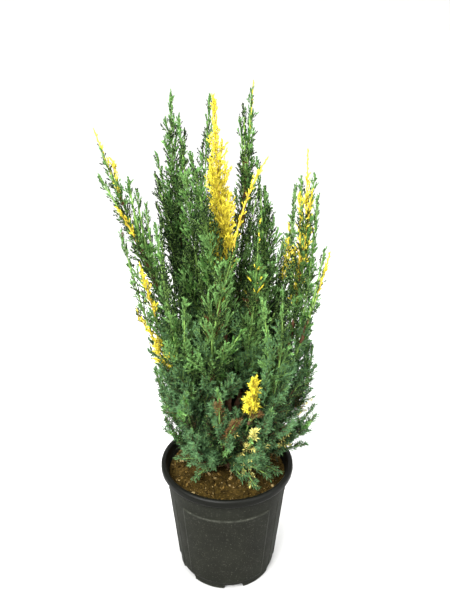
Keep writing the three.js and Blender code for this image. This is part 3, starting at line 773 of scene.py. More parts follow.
def make_pot_surface(pot):
    """A turned wall. Its radius grows by the panels' height between their edges, by a bell curve of the
    distance to the nearest edge for the fine bead round each panel, and by another for the rib up the
    middle of each gap. At each notch the rows of the base's corner step in and up."""
    profile = pot_profile()
    turn = bearings(POT_COLUMNS)
    radius = np.repeat(profile[:, :1], POT_COLUMNS, 1)
    height = np.repeat(profile[:, 1:], POT_COLUMNS, 1)
    outside = (np.arange(len(profile)) > 8) & (profile[:, 0] >= wall_radius(profile[:, 1]) - 0.5)
    outside &= profile[:, 1] < 167
    outside = outside[:, None]
    off = off_nearest(turn, PANEL_COUNT, PANEL_MIDDLE_DEG)
    edge = (off - math.radians(PANEL_HALF_DEG)) * COLLAR_RADIUS
    gap_rib = np.exp(-((((off - math.radians(180 / PANEL_COUNT)) * COLLAR_RADIUS) / RIB_WIDTH) ** 2))
    in_height = ease(PANEL_FOOT - 6, PANEL_FOOT + 4, height)
    in_height = in_height * (1 - ease(PANEL_TOP - 1, PANEL_TOP + 0.6, height))
    in_turn = 1 - ease(-PANEL_SLOPE, PANEL_SLOPE, edge)
    far = 50
    to_sides = np.abs(edge) + far * (1 - ease(0, 1, in_height))
    to_ends = np.minimum(np.abs(height - PANEL_TOP + 0.6), np.abs(height - PANEL_FOOT))
    to_edge = np.minimum(to_sides, to_ends + far * (edge > PANEL_SLOPE))
    bead = np.exp(-((to_edge / BEAD_WIDTH) ** 2))
    ribs = gap_rib * ease(8, 12, height) * (1 - ease(PANEL_TOP - 4, PANEL_TOP, height))
    grown = pot.panel_proud / MM * in_height * in_turn + pot.bead_proud / MM * (bead + 1.3 * ribs)
    radius = radius + np.where(outside, grown, 0)
    notch = off_nearest(turn, NOTCH_COUNT, NOTCH_BEARING_DEG) * BASE_RADIUS
    cut = 1 - ease(NOTCH_WIDTH / 2 - 0.8, NOTCH_WIDTH / 2 + 0.2, notch)
    steps = len(profile[NOTCH_ROWS])
    climb = np.linspace(0, NOTCH_HEIGHT + BASE_RADIUS - NOTCH_INNER_RADIUS, steps)
    notch_height = np.minimum(climb, NOTCH_HEIGHT)
    notch_radius = NOTCH_INNER_RADIUS + np.maximum(climb - NOTCH_HEIGHT, 0)
    radius[NOTCH_ROWS] = lerp(radius[NOTCH_ROWS], notch_radius[:, None], cut)
    height[NOTCH_ROWS] = lerp(height[NOTCH_ROWS], notch_height[:, None], cut)
    # Real wear round the foot of the wall, and painted highlight along the top of the lip
    # and on the beads and ribs
    wear = np.exp(-(((profile[:, 0] - 98.9) ** 2 + (profile[:, 1] - 179) ** 2) / 1.6))[:, None]
    wear = wear + 0.2 * np.where(outside & (height > 30), bead + ribs, 0)
    wear = wear + 0.5 * np.exp(-((profile[:, 1] - 1) ** 2) / 2)[:, None] * outside
    points, faces = lathe(radius, height, turn)
    return points, faces, np.append(np.clip(wear, 0, 1).ravel(), [0, 0])


# Soil


def soil_reach(height):
    """How far out the soil goes at a height: up to a fine gap inside the pot's wall."""
    return float(wall_radius(height)) - WALL - SOIL_GAP


def soil_height(radius, turn, lumps):
    """The source's gentle dome with lumps of noise over it, lower near the wall."""
    edge = soil_reach(SOIL_EDGE)
    stations = [0, FLARE_RADIUS + 14, edge - 22, edge]
    base = np.interp(radius, stations, [SOIL_MIDDLE, SOIL_MIDDLE, SOIL_EDGE + 4, SOIL_EDGE])
    x, y = radius * np.cos(turn), radius * np.sin(turn)
    relief = sum(grain(x / step + 50, y / step + 50, n) * size for n, (step, size) in enumerate(SOIL_LUMPS))
    return base + lumps / MM * relief * (1 - 0.6 * ease(edge - 6, edge, radius))


def make_soil_surface(soil):
    """A polar grid: the lumpy top from the wall in to the middle, and a plain hidden plug below."""
    plug = [(30, SOIL_BOTTOM), (60, SOIL_BOTTOM)]
    plug = np.array(plug + [(soil_reach(height), height) for height in (SOIL_BOTTOM, 60, 110, 150)])
    across = np.linspace(soil_reach(SOIL_EDGE), 1.2, 70)
    radius = np.concatenate([plug[:, 0], across])[:, None] * np.ones(SOIL_COLUMNS)
    turn = bearings(SOIL_COLUMNS)
    low = plug[:, 1:] * np.ones(SOIL_COLUMNS)
    top = soil_height(radius[len(plug):], turn, soil.lumps)
    return lathe(radius, np.concatenate([low, top]), turn)


CRUMB_CORNERS = np.array([(1, 0, 0), (-1, 0, 0), (0, 1, 0), (0, -1, 0), (0, 0, 1), (0, 0, -1)], float)
CRUMB_FACES = np.array(
    [(0, 2, 4), (2, 1, 4), (1, 3, 4), (3, 0, 4), (2, 0, 5), (1, 2, 5), (3, 1, 5), (0, 3, 5)]
)


def turned_frames(rng, count):
    """Random rotation matrices, from random unit quaternions."""
    w, x, y, z = unit(rng.normal(size=(count, 4))).T
    rows = [
        [1 - 2 * (y * y + z * z), 2 * (x * y - z * w), 2 * (x * z + y * w)],
        [2 * (x * y + z * w), 1 - 2 * (x * x + z * z), 2 * (y * z - x * w)],
        [2 * (x * z - y * w), 2 * (y * z + x * w), 1 - 2 * (x * x + y * y)],
    ]
    return np.moveaxis(np.array(rows), -1, 0)


def make_crumbs(rng, count, sizes, stretch, lumps):
    """Eight-faced bits scattered evenly over the soil, half sunk in it. Each is a stretched
    octahedron with its corners pushed about."""
    edge = soil_reach(SOIL_EDGE) - 2
    radius = edge * np.sqrt(rng.random(count))
    turn = rng.random(count) * 2 * np.pi
    size = rng.lognormal(np.log(sizes), 0.45, count)
    middle = np.stack([radius * np.cos(turn), radius * np.sin(turn), soil_height(radius, turn, lumps)], 1)
    middle[:, 2] += 0.25 * size
    corners = CRUMB_CORNERS * (0.5 * size[:, None] * stretch)[:, None]
    corners = corners * (0.7 + 0.6 * rng.random((count, 6, 1)))
    points = np.einsum("nij,nkj->nki", turned_frames(rng, count), corners) + middle[:, None]
    faces = CRUMB_FACES + 6 * np.arange(count)[:, None, None]
    return points.reshape(-1, 3), [faces.reshape(-1, 3)]


def make_stones(rng, places, lumps):
    """Rounded stones, each a ball of turned rings whose radius is pushed about at random, flattened
    and turned by a random angle."""
    points, faces = [], []
    total = 0
    tilt = np.linspace(0.25, np.pi - 0.25, STONE_RINGS)[:, None]
    for radius, turn, size in places:
        rows = np.sin(tilt) * np.ones(STONE_SIDES)
        rows = rows * (0.85 + 0.3 * rng.random(rows.shape))
        made, sides = lathe(rows, -np.cos(tilt) * np.ones(STONE_SIDES), bearings(STONE_SIDES))
        made = made * size * 0.5 * np.array([1, 0.75 + 0.3 * rng.random(), 0.6])
        spin = rng.random() * 2 * np.pi
        cos, sin = math.cos(spin), math.sin(spin)
        made = made @ np.array([[cos, sin, 0], [-sin, cos, 0], [0, 0, 1]])
        lift = float(soil_height(np.array([radius]), np.array([turn]), lumps)[0]) + 0.12 * size
        points.append(made + polar(turn, radius, lift))
        faces.append([group + total for group in sides])
        total += len(made)
    return np.concatenate(points), [np.concatenate(groups) for groups in zip(*faces)]


# Growth, by the source's rule, and on from its sprays to twigs, branchlets and needles


def bezier(curve, share):
    """The place and the direction at each share of a quadratic curve through its three points."""
    start, elbow, end = np.asarray(curve, float)
    share = np.asarray(share, float)[..., None]
    place = (1 - share) ** 2 * start + 2 * share * (1 - share) * elbow + share**2 * end
    along = (1 - share) * (elbow - start) + share * (end - elbow)
    return place, unit(along)


def make_plume(name, node, curve, turn, girth, bare, low, kind=None):
    """A plume on its curve. Its leafy length is the length of the curve beyond the bare bough, level is
    the level way across it, and its seed follows from its place in the tables."""
    steps = bezier(curve, np.linspace(0, 1, 65))[0]
    whole = np.linalg.norm(np.diff(steps, axis=0), axis=1).sum()
    order = [*PLUMES, *SKIRT, *LEADERS].index(name)
    return SimpleNamespace(name=name, node=node, curve=curve, turn=turn, girth=girth, bare=bare,
                           level=np.array([-math.sin(turn), math.cos(turn), 0]),
                           seed=SEED + order, length=whole * (1 - bare), low=low, kind=kind)


def read_plumes():
    """Each plume's axis runs from the trunk's axis at its fork, past its elbow, to its top. A side
    leader leaves its plume along it and turns up to its own tip."""
    plumes = {}
    for name, row in {**PLUMES, **SKIRT}.items():
        bearing, reach, top, fork, spread, elbow, swing, girth, bare = row
        turn, elbow_turn = math.radians(bearing), math.radians(bearing + swing)
        foot = bezier(TRUNK_CURVE, (fork - TRUNK_CURVE[0][2]) / (TRUNK_CURVE[2][2] - TRUNK_CURVE[0][2]))[0]
        curve = [foot, polar(elbow_turn, reach * spread, elbow), polar(turn, reach, top)]
        plumes[name] = make_plume(name, name, curve, turn, girth, bare, name in SKIRT)
    for name, (parent, share, bearing, reach, top, girth, kind) in LEADERS.items():
        stock = plumes[parent]
        turn = math.radians(bearing)
        root, along = bezier(stock.curve, stock.bare + (1 - stock.bare) * share)
        tip = polar(turn, reach, top)
        bend = root + 0.45 * np.linalg.norm(tip - root) * unit(along + 0.6 * unit(tip - root))
        plumes[name] = make_plume(name, parent, [root, bend, tip], turn, girth, 0, stock.low, kind)
    return list(plumes.values())


def girth_at(girth, share):
    """A plume's foliage swells to a belly and tapers to its tip."""
    swell = lerp(FOOT_GIRTH, 1, np.sin(np.pi / 2 * np.clip(share / BELLY, 0, 1)))
    taper = np.clip((1 - share) / (1 - BELLY), 0, 1) ** TIP_TAPER
    return np.maximum(LEAST_GIRTH, girth * swell * np.where(share < BELLY, 1, taper))


def habit(plume):
    """The plume's own habit, or the usual one, whose shoots start some way down the bare bough."""
    usual_foot = -LEAFY_FOOT * plume.bare / (1 - plume.bare)
    return HABITS.get(plume.name, (usual_foot, 1, 1, 1, 1))


def grow_shoots(plume, pitch, rng):
    """Side shoots wind up a plume by the golden angle, lean out as far as its girth and turn up. Every
    fourth is a leader, longer and wider set, and none passes the plume's own tip."""
    foot, thin, wide, fuller, whip = habit(plume)
    count = round(plume.length * (LEAFY_TOP * whip - foot) / (pitch * thin))
    k = np.arange(count)
    climb = 1 - (1 - (k + SPRAY_LOOSENESS * chance(plume.seed, 4 * k)) / count) ** CLOSER_TO_TIP
    share = foot + (LEAFY_TOP * whip - foot) * climb
    root, along = bezier(plume.curve, plume.bare + (1 - plume.bare) * share)
    across, inward = cross_frame(along, plume.level)
    azimuth = GOLDEN * k + 2 * np.pi * chance(plume.seed, 1001) + rng.normal(0, AZIMUTH_SPREAD, count)
    azimuth = azimuth + FLATTENING * abs(math.sin(plume.turn)) * ease(0.2, 0.6, share) * np.sin(2 * azimuth)
    lean = np.radians(lerp(SPRAY_LEAN_LOW, SPRAY_LEAN_TOP, share) * wide)
    radial = across * np.sin(azimuth)[:, None] - inward * np.cos(azimuth)[:, None]
    # Each round takes the length half the way to the one that just reaches the plume's side
    size = np.full(count, float(SPRAY_LONGEST))
    for _ in range(4):
        ahead = np.minimum(1, share + size * np.cos(lean) / plume.length)
        reach = np.maximum(1.2, REACH_SHARE * fuller * girth_at(plume.girth, ahead) - BRANCHLET_REACH)
        size = (size + np.minimum(SPRAY_LONGEST, reach / np.sin(lean))) / 2
    leader = k % LEADER_EVERY == 1
    size = size * np.where(leader, LEADER_LENGTH, SHOOT_LENGTH) * (0.78 + 0.4 * chance(plume.seed, 4 * k + 2))
    size = np.clip(size, SHORTEST_SHOOT, np.maximum(SHORTEST_SHOOT + 1, 0.9 * (whip - share) * plume.length))
    heading = along * np.cos(lean)[:, None] + radial * np.sin(lean)[:, None]
    heading[:, 2] += (SKIRT_RISE if plume.low else SPRAY_RISE) * (1 - share)
    heading = unit(heading)
    start = unit(heading + np.where(leader, 0.3, 0.16)[:, None] * radial)
    end = unit(heading - 0.2 * radial + 0.14 * along)
    return SimpleNamespace(root=root, start=start, end=end, size=size, side=radial, share=share,
                           vigour=np.ones(count))


def grow_tip(plume):
    """The leafy end of the plume's own stem, with smaller needles on a bare whip."""
    whip = habit(plume)[4]
    share = np.array([LEAFY_TIP, 1])
    place, along = bezier(plume.curve, plume.bare + (1 - plume.bare) * share)
    size = np.linalg.norm(place[1:] - place[:1], axis=1)
    across = cross_frame(along, plume.level)[0]
    return SimpleNamespace(root=place[:1], start=along[:1], end=along[1:], size=size, side=across[:1],
                           share=np.array([LEAFY_TOP]), vigour=np.array([1 if whip > 0.97 else 0.95]))


def follow(shoots, share):
    """Place and direction along shoots whose heading turns evenly from start to end, at one share of
    their length or at one for each."""
    share = np.broadcast_to(share, shoots.size.shape)[:, None]
    turned = shoots.end - shoots.start
    place = shoots.root + shoots.size[:, None] * (share * shoots.start + share**2 / 2 * turned)
    return place, unit(lerp(shoots.start, shoots.end, share))


def pick(shoots, rows):
    """Some of the shoots."""
    return SimpleNamespace(**{key: value[rows] for key, value in vars(shoots).items()})


def join(groups):
    """Groups of shoots as one."""
    keys = vars(groups[0])
    return SimpleNamespace(**{key: np.concatenate([getattr(group, key) for group in groups]) for key in keys})


def ranks(counts):
    """For counts of things: the owner of each thing and its number within its owner."""
    owner = np.repeat(np.arange(len(counts)), counts)
    first = np.concatenate([[0], np.cumsum(counts)[:-1]])
    return owner, np.arange(len(owner)) - first[owner]


def dye(kinds, where, kind):
    """The kinds of needle with one of them put in at some places."""
    return np.where(where, KINDS.index(kind), kinds)


def of_kind(shoots, *kinds):
    """Whether each shoot has one of these kinds of needle."""
    return np.isin(shoots.kind, [KINDS.index(kind) for kind in kinds])


def offspring(parent, share, rng, **own):
    """Shoots borne at a share of their parents' length. They inherit their place up the plume, vigour
    and kind of needle, but green needles are painted darker at the foot of the parent, as painted
    shade, and lighter at its end, as painted light."""
    green = of_kind(parent, "green", "light")
    draw = rng.random(len(green))
    # Painted shade at the foot of the parent, and painted light at its end
    kind = dye(parent.kind, green & (share < 0.42) & (draw < 0.8), "dark")
    kind = dye(kind, green & (share > 0.6) & (draw < 0.5), "light")
    return SimpleNamespace(**own, share=parent.share, kind=kind, plume=parent.plume, fuzz=parent.fuzz,
                           vigour=parent.vigour)


def grow_twigs(shoots, rng):
    """Side twigs on the longer shoots, to their two sides in turn, so that a shoot and its twigs make
    a spray whose face looks out of the plume."""
    bearing = (shoots.size > TWIG_BEARING) & (shoots.share < 0.985)
    counts = np.where(bearing, np.round(shoots.size / TWIG_PITCH), 0).astype(int)
    owner, number = ranks(counts)
    parent = pick(shoots, owner)
    share = 0.2 + 0.68 * (number + 0.6 * rng.random(len(owner))) / counts[owner]
    root, along = follow(parent, share)
    out, across = cross_frame(along, parent.side)
    turn = rng.normal(0.2, lerp(*TWIG_SPREADS, parent.fuzz))[:, None]
    away = np.where(number % 2, 1, -1)[:, None] * across * np.cos(turn) + out * np.sin(turn)
    lean = np.radians(lerp(*TWIG_LEANS, share) + rng.normal(0, 5, len(owner)))[:, None]
    start = along * np.cos(lean) + away * np.sin(lean)
    end = unit(start + 0.5 * along + UPTURN)
    size = parent.size * 0.55 * (1 - share) ** 0.6 * (0.8 + 0.4 * rng.random(len(owner)))
    size = np.clip(size, *TWIG_LENGTHS)
    return offspring(parent, share, rng, root=root, start=start, end=end, size=size, side=out)


def grow_branchlets(shoots, rng):
    """Branchlets along each shoot and twig, mostly to its two sides and shorter to its tip and to the
    tip of the plume. At the foot of the plant they stand all round. They leave at about 40 degrees
    and bend back along it."""
    pitch = lerp(*BRANCHLET_PITCHES, shoots.fuzz)
    counts = np.clip(np.round(shoots.size / pitch), 1, MOST_BRANCHLETS).astype(int)
    owner, number = ranks(counts)
    parent = pick(shoots, owner)
    share = (number + 0.35 + 0.4 * rng.random(len(owner))) / (counts[owner] + 0.2)
    share = 0.14 + 0.84 * np.minimum(share, 1)
    root, along = follow(parent, share)
    out, across = cross_frame(along, parent.side)
    azimuth = np.pi * (number + 0.5) + rng.normal(0, lerp(*BRANCHLET_SPREADS, parent.fuzz))
    away = out * np.cos(azimuth)[:, None] + across * np.sin(azimuth)[:, None]
    fine = ease(0.75, 1, parent.share)
    closer = lerp(1, 0.7, fine)
    lean = np.radians(lerp(*BRANCHLET_LEANS, share) * closer + rng.normal(0, 5, len(owner)))
    start = along * np.cos(lean)[:, None] + away * np.sin(lean)[:, None]
    end = unit(start + 0.45 * along + UPTURN)
    size = parent.size * lerp(*BRANCHLET_SHARES, parent.fuzz) * (1 - share) ** 0.5
    size = size * (0.75 + 0.5 * rng.random(len(owner)))
    size = np.clip(size, lerp(5.5, 4, fine), lerp(*BRANCHLET_LONGEST, parent.fuzz) * closer)
    size = size * np.where(parent.vigour < 1, 0.3, 1)
    return offspring(parent, share, rng, root=root, start=start, end=end, size=size, side=away)


def choose_kinds(plume, shoots, rng):
    """Deals a kind of needle to each shoot: green, or light green as painted light, above all in a belt
    half way up; dark green, and more of it as painted shade at the back, inside and low down;
    blue-green towards the foot; now and then dead inside; and last the plume's own kind and its
    patches of variegation."""
    count = len(shoots.size)
    height = shoots.root[:, 2] + 0.6 * shoots.size
    draw = rng.random(count)
    # Painted light: a belt of light green half way up
    green = GREEN_SHARE - BELT_LIGHT_SHARE * ease(*BELT_FOOT, height) * (1 - ease(*BELT_TOP, height))
    kinds = np.where(draw < green, KINDS.index("green"), KINDS.index("light"))
    # Painted shade: more dark green on the plumes at the back, on shoots that face inward and low down
    at_back = lerp(*BACK_DARK_SHARES, ease(*BACK_DARK_HEIGHTS, height))
    kinds = dye(kinds, draw < (at_back if plume.name in BACK else DARK_SHARE), "dark")
    kinds = dye(kinds, rng.random(count) < BLUE_SHARE * (1 - ease(*BLUE_HEIGHTS, height)), "blue")
    inward = np.sum(shoots.side[:, :2] * unit(shoots.root[:, :2]), axis=1) < -0.3
    kinds = dye(kinds, inward & (height < INNER_DARK_BELOW) & (rng.random(count) < INNER_DARK_SHARE), "dark")
    kinds = dye(kinds, (height < LOW_DARK_BELOW) & (rng.random(count) < LOW_DARK_SHARE), "dark")
    kinds = dye(kinds, inward & (rng.random(count) < DEAD_SHARE), "dead")
    if plume.kind:
        kinds = dye(kinds, rng.random(count) < OWN_KIND_SHARE, plume.kind)
    return patch_kinds(plume, shoots, kinds, rng, False)


def patch_kinds(plume, shoots, kinds, rng, small):
    """Lays the plume's patches of variegation over the kinds: those of whole sprays, or the small ones
    of single branchlets."""
    bearing = np.arctan2(shoots.side[:, 1], shoots.side[:, 0])
    for low, high, middle, half, part, kind in PATCHES.get(plume.name, []):
        turned = np.abs((bearing - math.radians(middle) + np.pi) % (2 * np.pi) - np.pi)
        inside = (shoots.share >= low) & (shoots.share <= high) & (turned <= math.radians(half) + 1e-6)
        if (part < 0.5) == small:
            kinds = dye(kinds, inside & (rng.random(len(kinds)) < part), kind)
    return kinds


def in_reach(shoots):
    """Whether a shoot's middle and tip are 4 mm above the soil or 5 mm above the lip, and its tip is no
    more than 5 to 7 mm outside the model's box."""
    middle, tip = (follow(shoots, share)[0] for share in (0.5, 1))
    clear = np.ones(len(tip), bool)
    for place in (middle, tip):
        over_lip = np.hypot(place[:, 0], place[:, 1]) > RIM_RADIUS - 13
        clear &= place[:, 2] > np.where(over_lip, POT_HEIGHT + 5, SOIL_MIDDLE + 4)
    low, high = (np.array(corner) / MM for corner in CAD_BOX)
    return clear & np.all((tip > low - 7) & (tip < high + 5), axis=1)


def grow_all(foliage, rng):
    """All the leafy shoots: each plume's side shoots, its own leafy tip, and their twigs; and the
    branchlets on them all."""
    plumes = read_plumes()
    grown = []
    for index, plume in enumerate(plumes):
        pitch = foliage.shoot_pitch / MM * (1.1 if plume.low else 1)
        shoots = join([grow_shoots(plume, pitch, rng), grow_tip(plume)])
        shoots.kind = choose_kinds(plume, shoots, rng)
        shoots.plume = np.full(len(shoots.size), index)
        shoots.fuzz = 1 - ease(*FOOT_HEIGHTS, shoots.root[:, 2] + 0.5 * shoots.size)
        grown.append(shoots)
    shoots = join(grown)
    shoots = pick(shoots, in_reach(shoots))
    twigs = grow_twigs(shoots, rng)
    shoots = join([shoots, pick(twigs, in_reach(twigs))])
    branchlets = grow_branchlets(shoots, rng)
    branchlets = pick(branchlets, in_reach(branchlets))
    for index, plume in enumerate(plumes):
        patched = patch_kinds(plume, branchlets, branchlets.kind, rng, True)
        branchlets.kind = np.where(branchlets.plume == index, patched, branchlets.kind)
    return shoots, branchlets


def needles(axes, foliage, rng, from_share):
    """Needles wound up each leafy axis, each a kite folded down its middle: a root, two shoulders at
    two fifths of its length and a tip. They stand out more at the foot of the plant."""
    many = NEEDLES_PER_MM * np.where(of_kind(axes, "dark"), OLD_NEEDLE_SHARE, 1)
    counts = np.maximum(3, np.round(axes.size * (1 - from_share) * many)).astype(int)
    owner, number = ranks(counts)
    axis = pick(axes, owner)
    share = from_share + (1 - from_share) * (number + rng.random(len(owner))) / counts[owner]
    root, along = follow(axis, share)
    one, other = cross_frame(along, axis.side)
    azimuth = GOLDEN * number + rng.normal(0, AZIMUTH_SPREAD, len(owner))
    away = one * np.cos(azimuth)[:, None] + other * np.sin(azimuth)[:, None]
    open_out = lerp(*NEEDLE_LEANS, axis.fuzz) * (1 - 0.5 * share**3) * axis.vigour
    open_out = open_out + rng.normal(0, 6, len(owner))
    open_out = np.radians(np.clip(open_out, 8, 75))
    heading = along * np.cos(open_out)[:, None] + away * np.sin(open_out)[:, None]
    size = lerp(foliage.needle_length, foliage.low_needle_length, axis.fuzz) / MM * axis.vigour
    size = (size * (0.8 + 0.4 * rng.random(len(owner))))[:, None]
    wide = unit(np.cross(heading, away))
    inward = unit(np.cross(heading, wide))
    inward = np.where(dot(inward, away) > 0, -inward, inward)
    half = lerp(foliage.needle_width, foliage.low_needle_width, axis.fuzz)[:, None] / MM / 2
    root = root + 0.25 * away
    shoulder = root + 0.42 * size * heading + 0.35 * half * inward
    tip = root + size * heading + 0.06 * size * inward
    points = np.stack([root, shoulder - half * wide, shoulder + half * wide, tip], 1)
    flip = dot(np.cross(points[:, 1] - points[:, 0], points[:, 3] - points[:, 0]), inward)[:, 0] > 0
    points[flip] = points[flip][:, [0, 2, 1, 3]]
    return points, axis


# Operators


class MakePot(bpy.types.Operator):
    """Turns the nursery pot"""

    bl_idname = "juniper.make_pot"
    bl_label = "Pot"

    def execute(self, context):
        settings = context.scene.juniper_pot
        points, faces, wear = make_pot_surface(settings)
        put_mesh("nursery_pot", points, faces, moulded_polypropylene(settings), "pot_plastic",
                 # The attribute holds real wear at the foot and a painted highlight on the lip's top, beads
                 # and ribs
                 ["pot"], values={"wear": wear})
        return {"FINISHED"}


class MakeSoil(bpy.types.Operator):
    """Fills the pot with potting mix, clods, crumbs, chips, grit and stones"""

    bl_idname = "juniper.make_soil"
    bl_label = "Soil"

    def execute(self, context):
        settings = context.scene.juniper_soil
        rng = np.random.default_rng(SEED + 1)
        slot = "potting_soil"
        put_mesh("potting_mix", *make_soil_surface(settings), peat_mix(settings), slot, ["soil"])
        size = settings.crumb_size / MM
        for name, count, usual, stretch, shade in (
            ("peat_clods", 420, 3 * size, (1, 0.9, 0.7), settings.peat),
            ("peat_crumbs", 2600, size, (1, 1, 0.8), settings.peat),
            ("bark_chips", 1100, 1.5 * size, (1.5, 0.8, 0.35), settings.chip),
            ("pale_grit", 300, 0.9 * size, (1, 0.8, 0.7), settings.stone),
            ("coarse_chips", 44, 3.4 * size, (1.7, 0.9, 0.35), settings.stone),
        ):
            made = make_crumbs(rng, count, usual, np.array(stretch), settings.lumps)
            put_mesh(name, *made, crumb(name, shade, 0.5), slot, smooth=False)
        at_front = ((232, 7), (262, 6), (300, 5), (327, 7))
        stones = [(79, math.radians(bearing), across) for bearing, across in at_front]
        for _ in range(14):
            stones.append((84 * math.sqrt(rng.random()), 2 * np.pi * rng.random(), 2.5 + 2.5 * rng.random()))
        made = make_stones(rng, stones, settings.lumps)
        put_mesh("pale_stones", *made, crumb("clay_stone", settings.stone, 0.2), slot)
        return {"FINISHED"}


def trunk_radius(share):
    """A taper with a flare at the foot."""
    climb = share * (TRUNK_CURVE[2][2] - SOIL_MIDDLE)
    flare = np.maximum(0, 1 - climb / FLARE_HEIGHT)
    return lerp(TRUNK_RADIUS, TRUNK_TIP_RADIUS, share) + (FLARE_RADIUS - TRUNK_RADIUS) * flare**2


def limb_radius(plume, share):
    """A taper from the bough, thicker for a wider plume, to a twig at the tip."""
    stout = BOUGH_RADIUS * math.sqrt(plume.girth / STOUT_GIRTH)
    return TWIG_RADIUS + (stout - TWIG_RADIUS) * (1 - share) ** LIMB_TAPER


def furrows(share, sides, length_mm, seed):
    """The relief of shredding bark from -1 to 1: strips of noise, long up the stem and narrow round
    it, with a finer set over them."""
    angle = np.arange(sides) / sides
    strips = max(5, sides // 4)
    twist = 0.6 * np.sin(share * 3)[:, None]
    u = (angle[None] + twist * 0.1) * strips
    v = (share * length_mm / 26)[:, None] * np.ones(sides)
    return 0.7 * grain(u, v, seed, strips) + 0.3 * grain(2 * u, 2.3 * v, seed + 1, 2 * strips)


def stretches(plume):
    """The pieces along a stem: bark at its foot, then green rind, and gold rind where its tip is
    yellow. Each has its name, the shares of the stem where it starts and ends, and its sides."""
    gilt = GOLD_RIND_FROM if plume.kind == "yellow" else 1
    for low, high, _, _, part, kind in PATCHES.get(plume.name, []):
        if high == 1 and part > 0.6 and kind == "yellow":
            gilt = min(gilt, max(GOLD_RIND_FROM, low))
    turning = plume.bare + (1 - plume.bare) * min(gilt, RIND_FROM)
    gilt = plume.bare + (1 - plume.bare) * gilt
    pieces = [("bough_bark", 0, turning, BOUGH_SIDES)]
    if gilt > turning:
        pieces.append(("green_leaders", turning - LAP, gilt, LEADER_SIDES))
    if gilt < 1:
        pieces.append(("gold_leaders", gilt - LAP, 1, LEADER_SIDES))
    return pieces


class MakeWood(bpy.types.Operator):
    """Grows the trunk, the boughs and the leafy stems"""

    bl_idname = "juniper.make_wood"
    bl_label = "Trunk and boughs"

    def execute(self, context):
        settings = context.scene.juniper_wood
        bark = shredding_bark(settings)
        depth = settings.relief / MM
        share = np.linspace(0, 1, 150)
        centres = bezier(TRUNK_CURVE, share)[0][None]
        relief = furrows(share, TRUNK_SIDES, TRUNK_CURVE[2][2] - TRUNK_CURVE[0][2], 5)
        radii = trunk_radius(share)[:, None] + depth * relief * (0.4 + 0.6 * (1 - share))[:, None]
        put_mesh("trunk_bark", *tubes(centres, radii[None], TRUNK_SIDES), bark, "bark", ["trunk"])
        parts = {name: ([], [], []) for name in ("bough_bark", "green_leaders", "gold_leaders")}
        for plume in read_plumes():
            for name, low, high, sides in stretches(plume):
                share = np.linspace(low, high, 28)
                relief = furrows(share, sides, plume.length, plume.seed)
                radius = (limb_radius(plume, share) * (1 - 0.4 * ease(0.85, 1, share)))[:, None]
                radius = radius * (1 + (0.14 if name == "bough_bark" else 0.05) * relief)
                parts[name][0].append(bezier(plume.curve, share)[0])
                parts[name][1].append(radius)
                parts[name][2].append(f"foliage_{plume.node}")
                if name == "bough_bark" and plume.bare > 0:
                    parts[name][2].append(f"bough_{plume.name}")
        looks = {
            "bough_bark": (bark, "bark"),
            "green_leaders": (young_rind("green_rind", settings.green_shoot), "foliage_green"),
            "gold_leaders": (young_rind("gold_rind", settings.gold_shoot), "foliage_yellow"),
        }
        for name, (centres, radii, nodes) in parts.items():
            radii = np.array(radii)
            put_mesh(name, *tubes(np.array(centres), radii, radii.shape[2]), *looks[name], nodes)
        return {"FINISHED"}


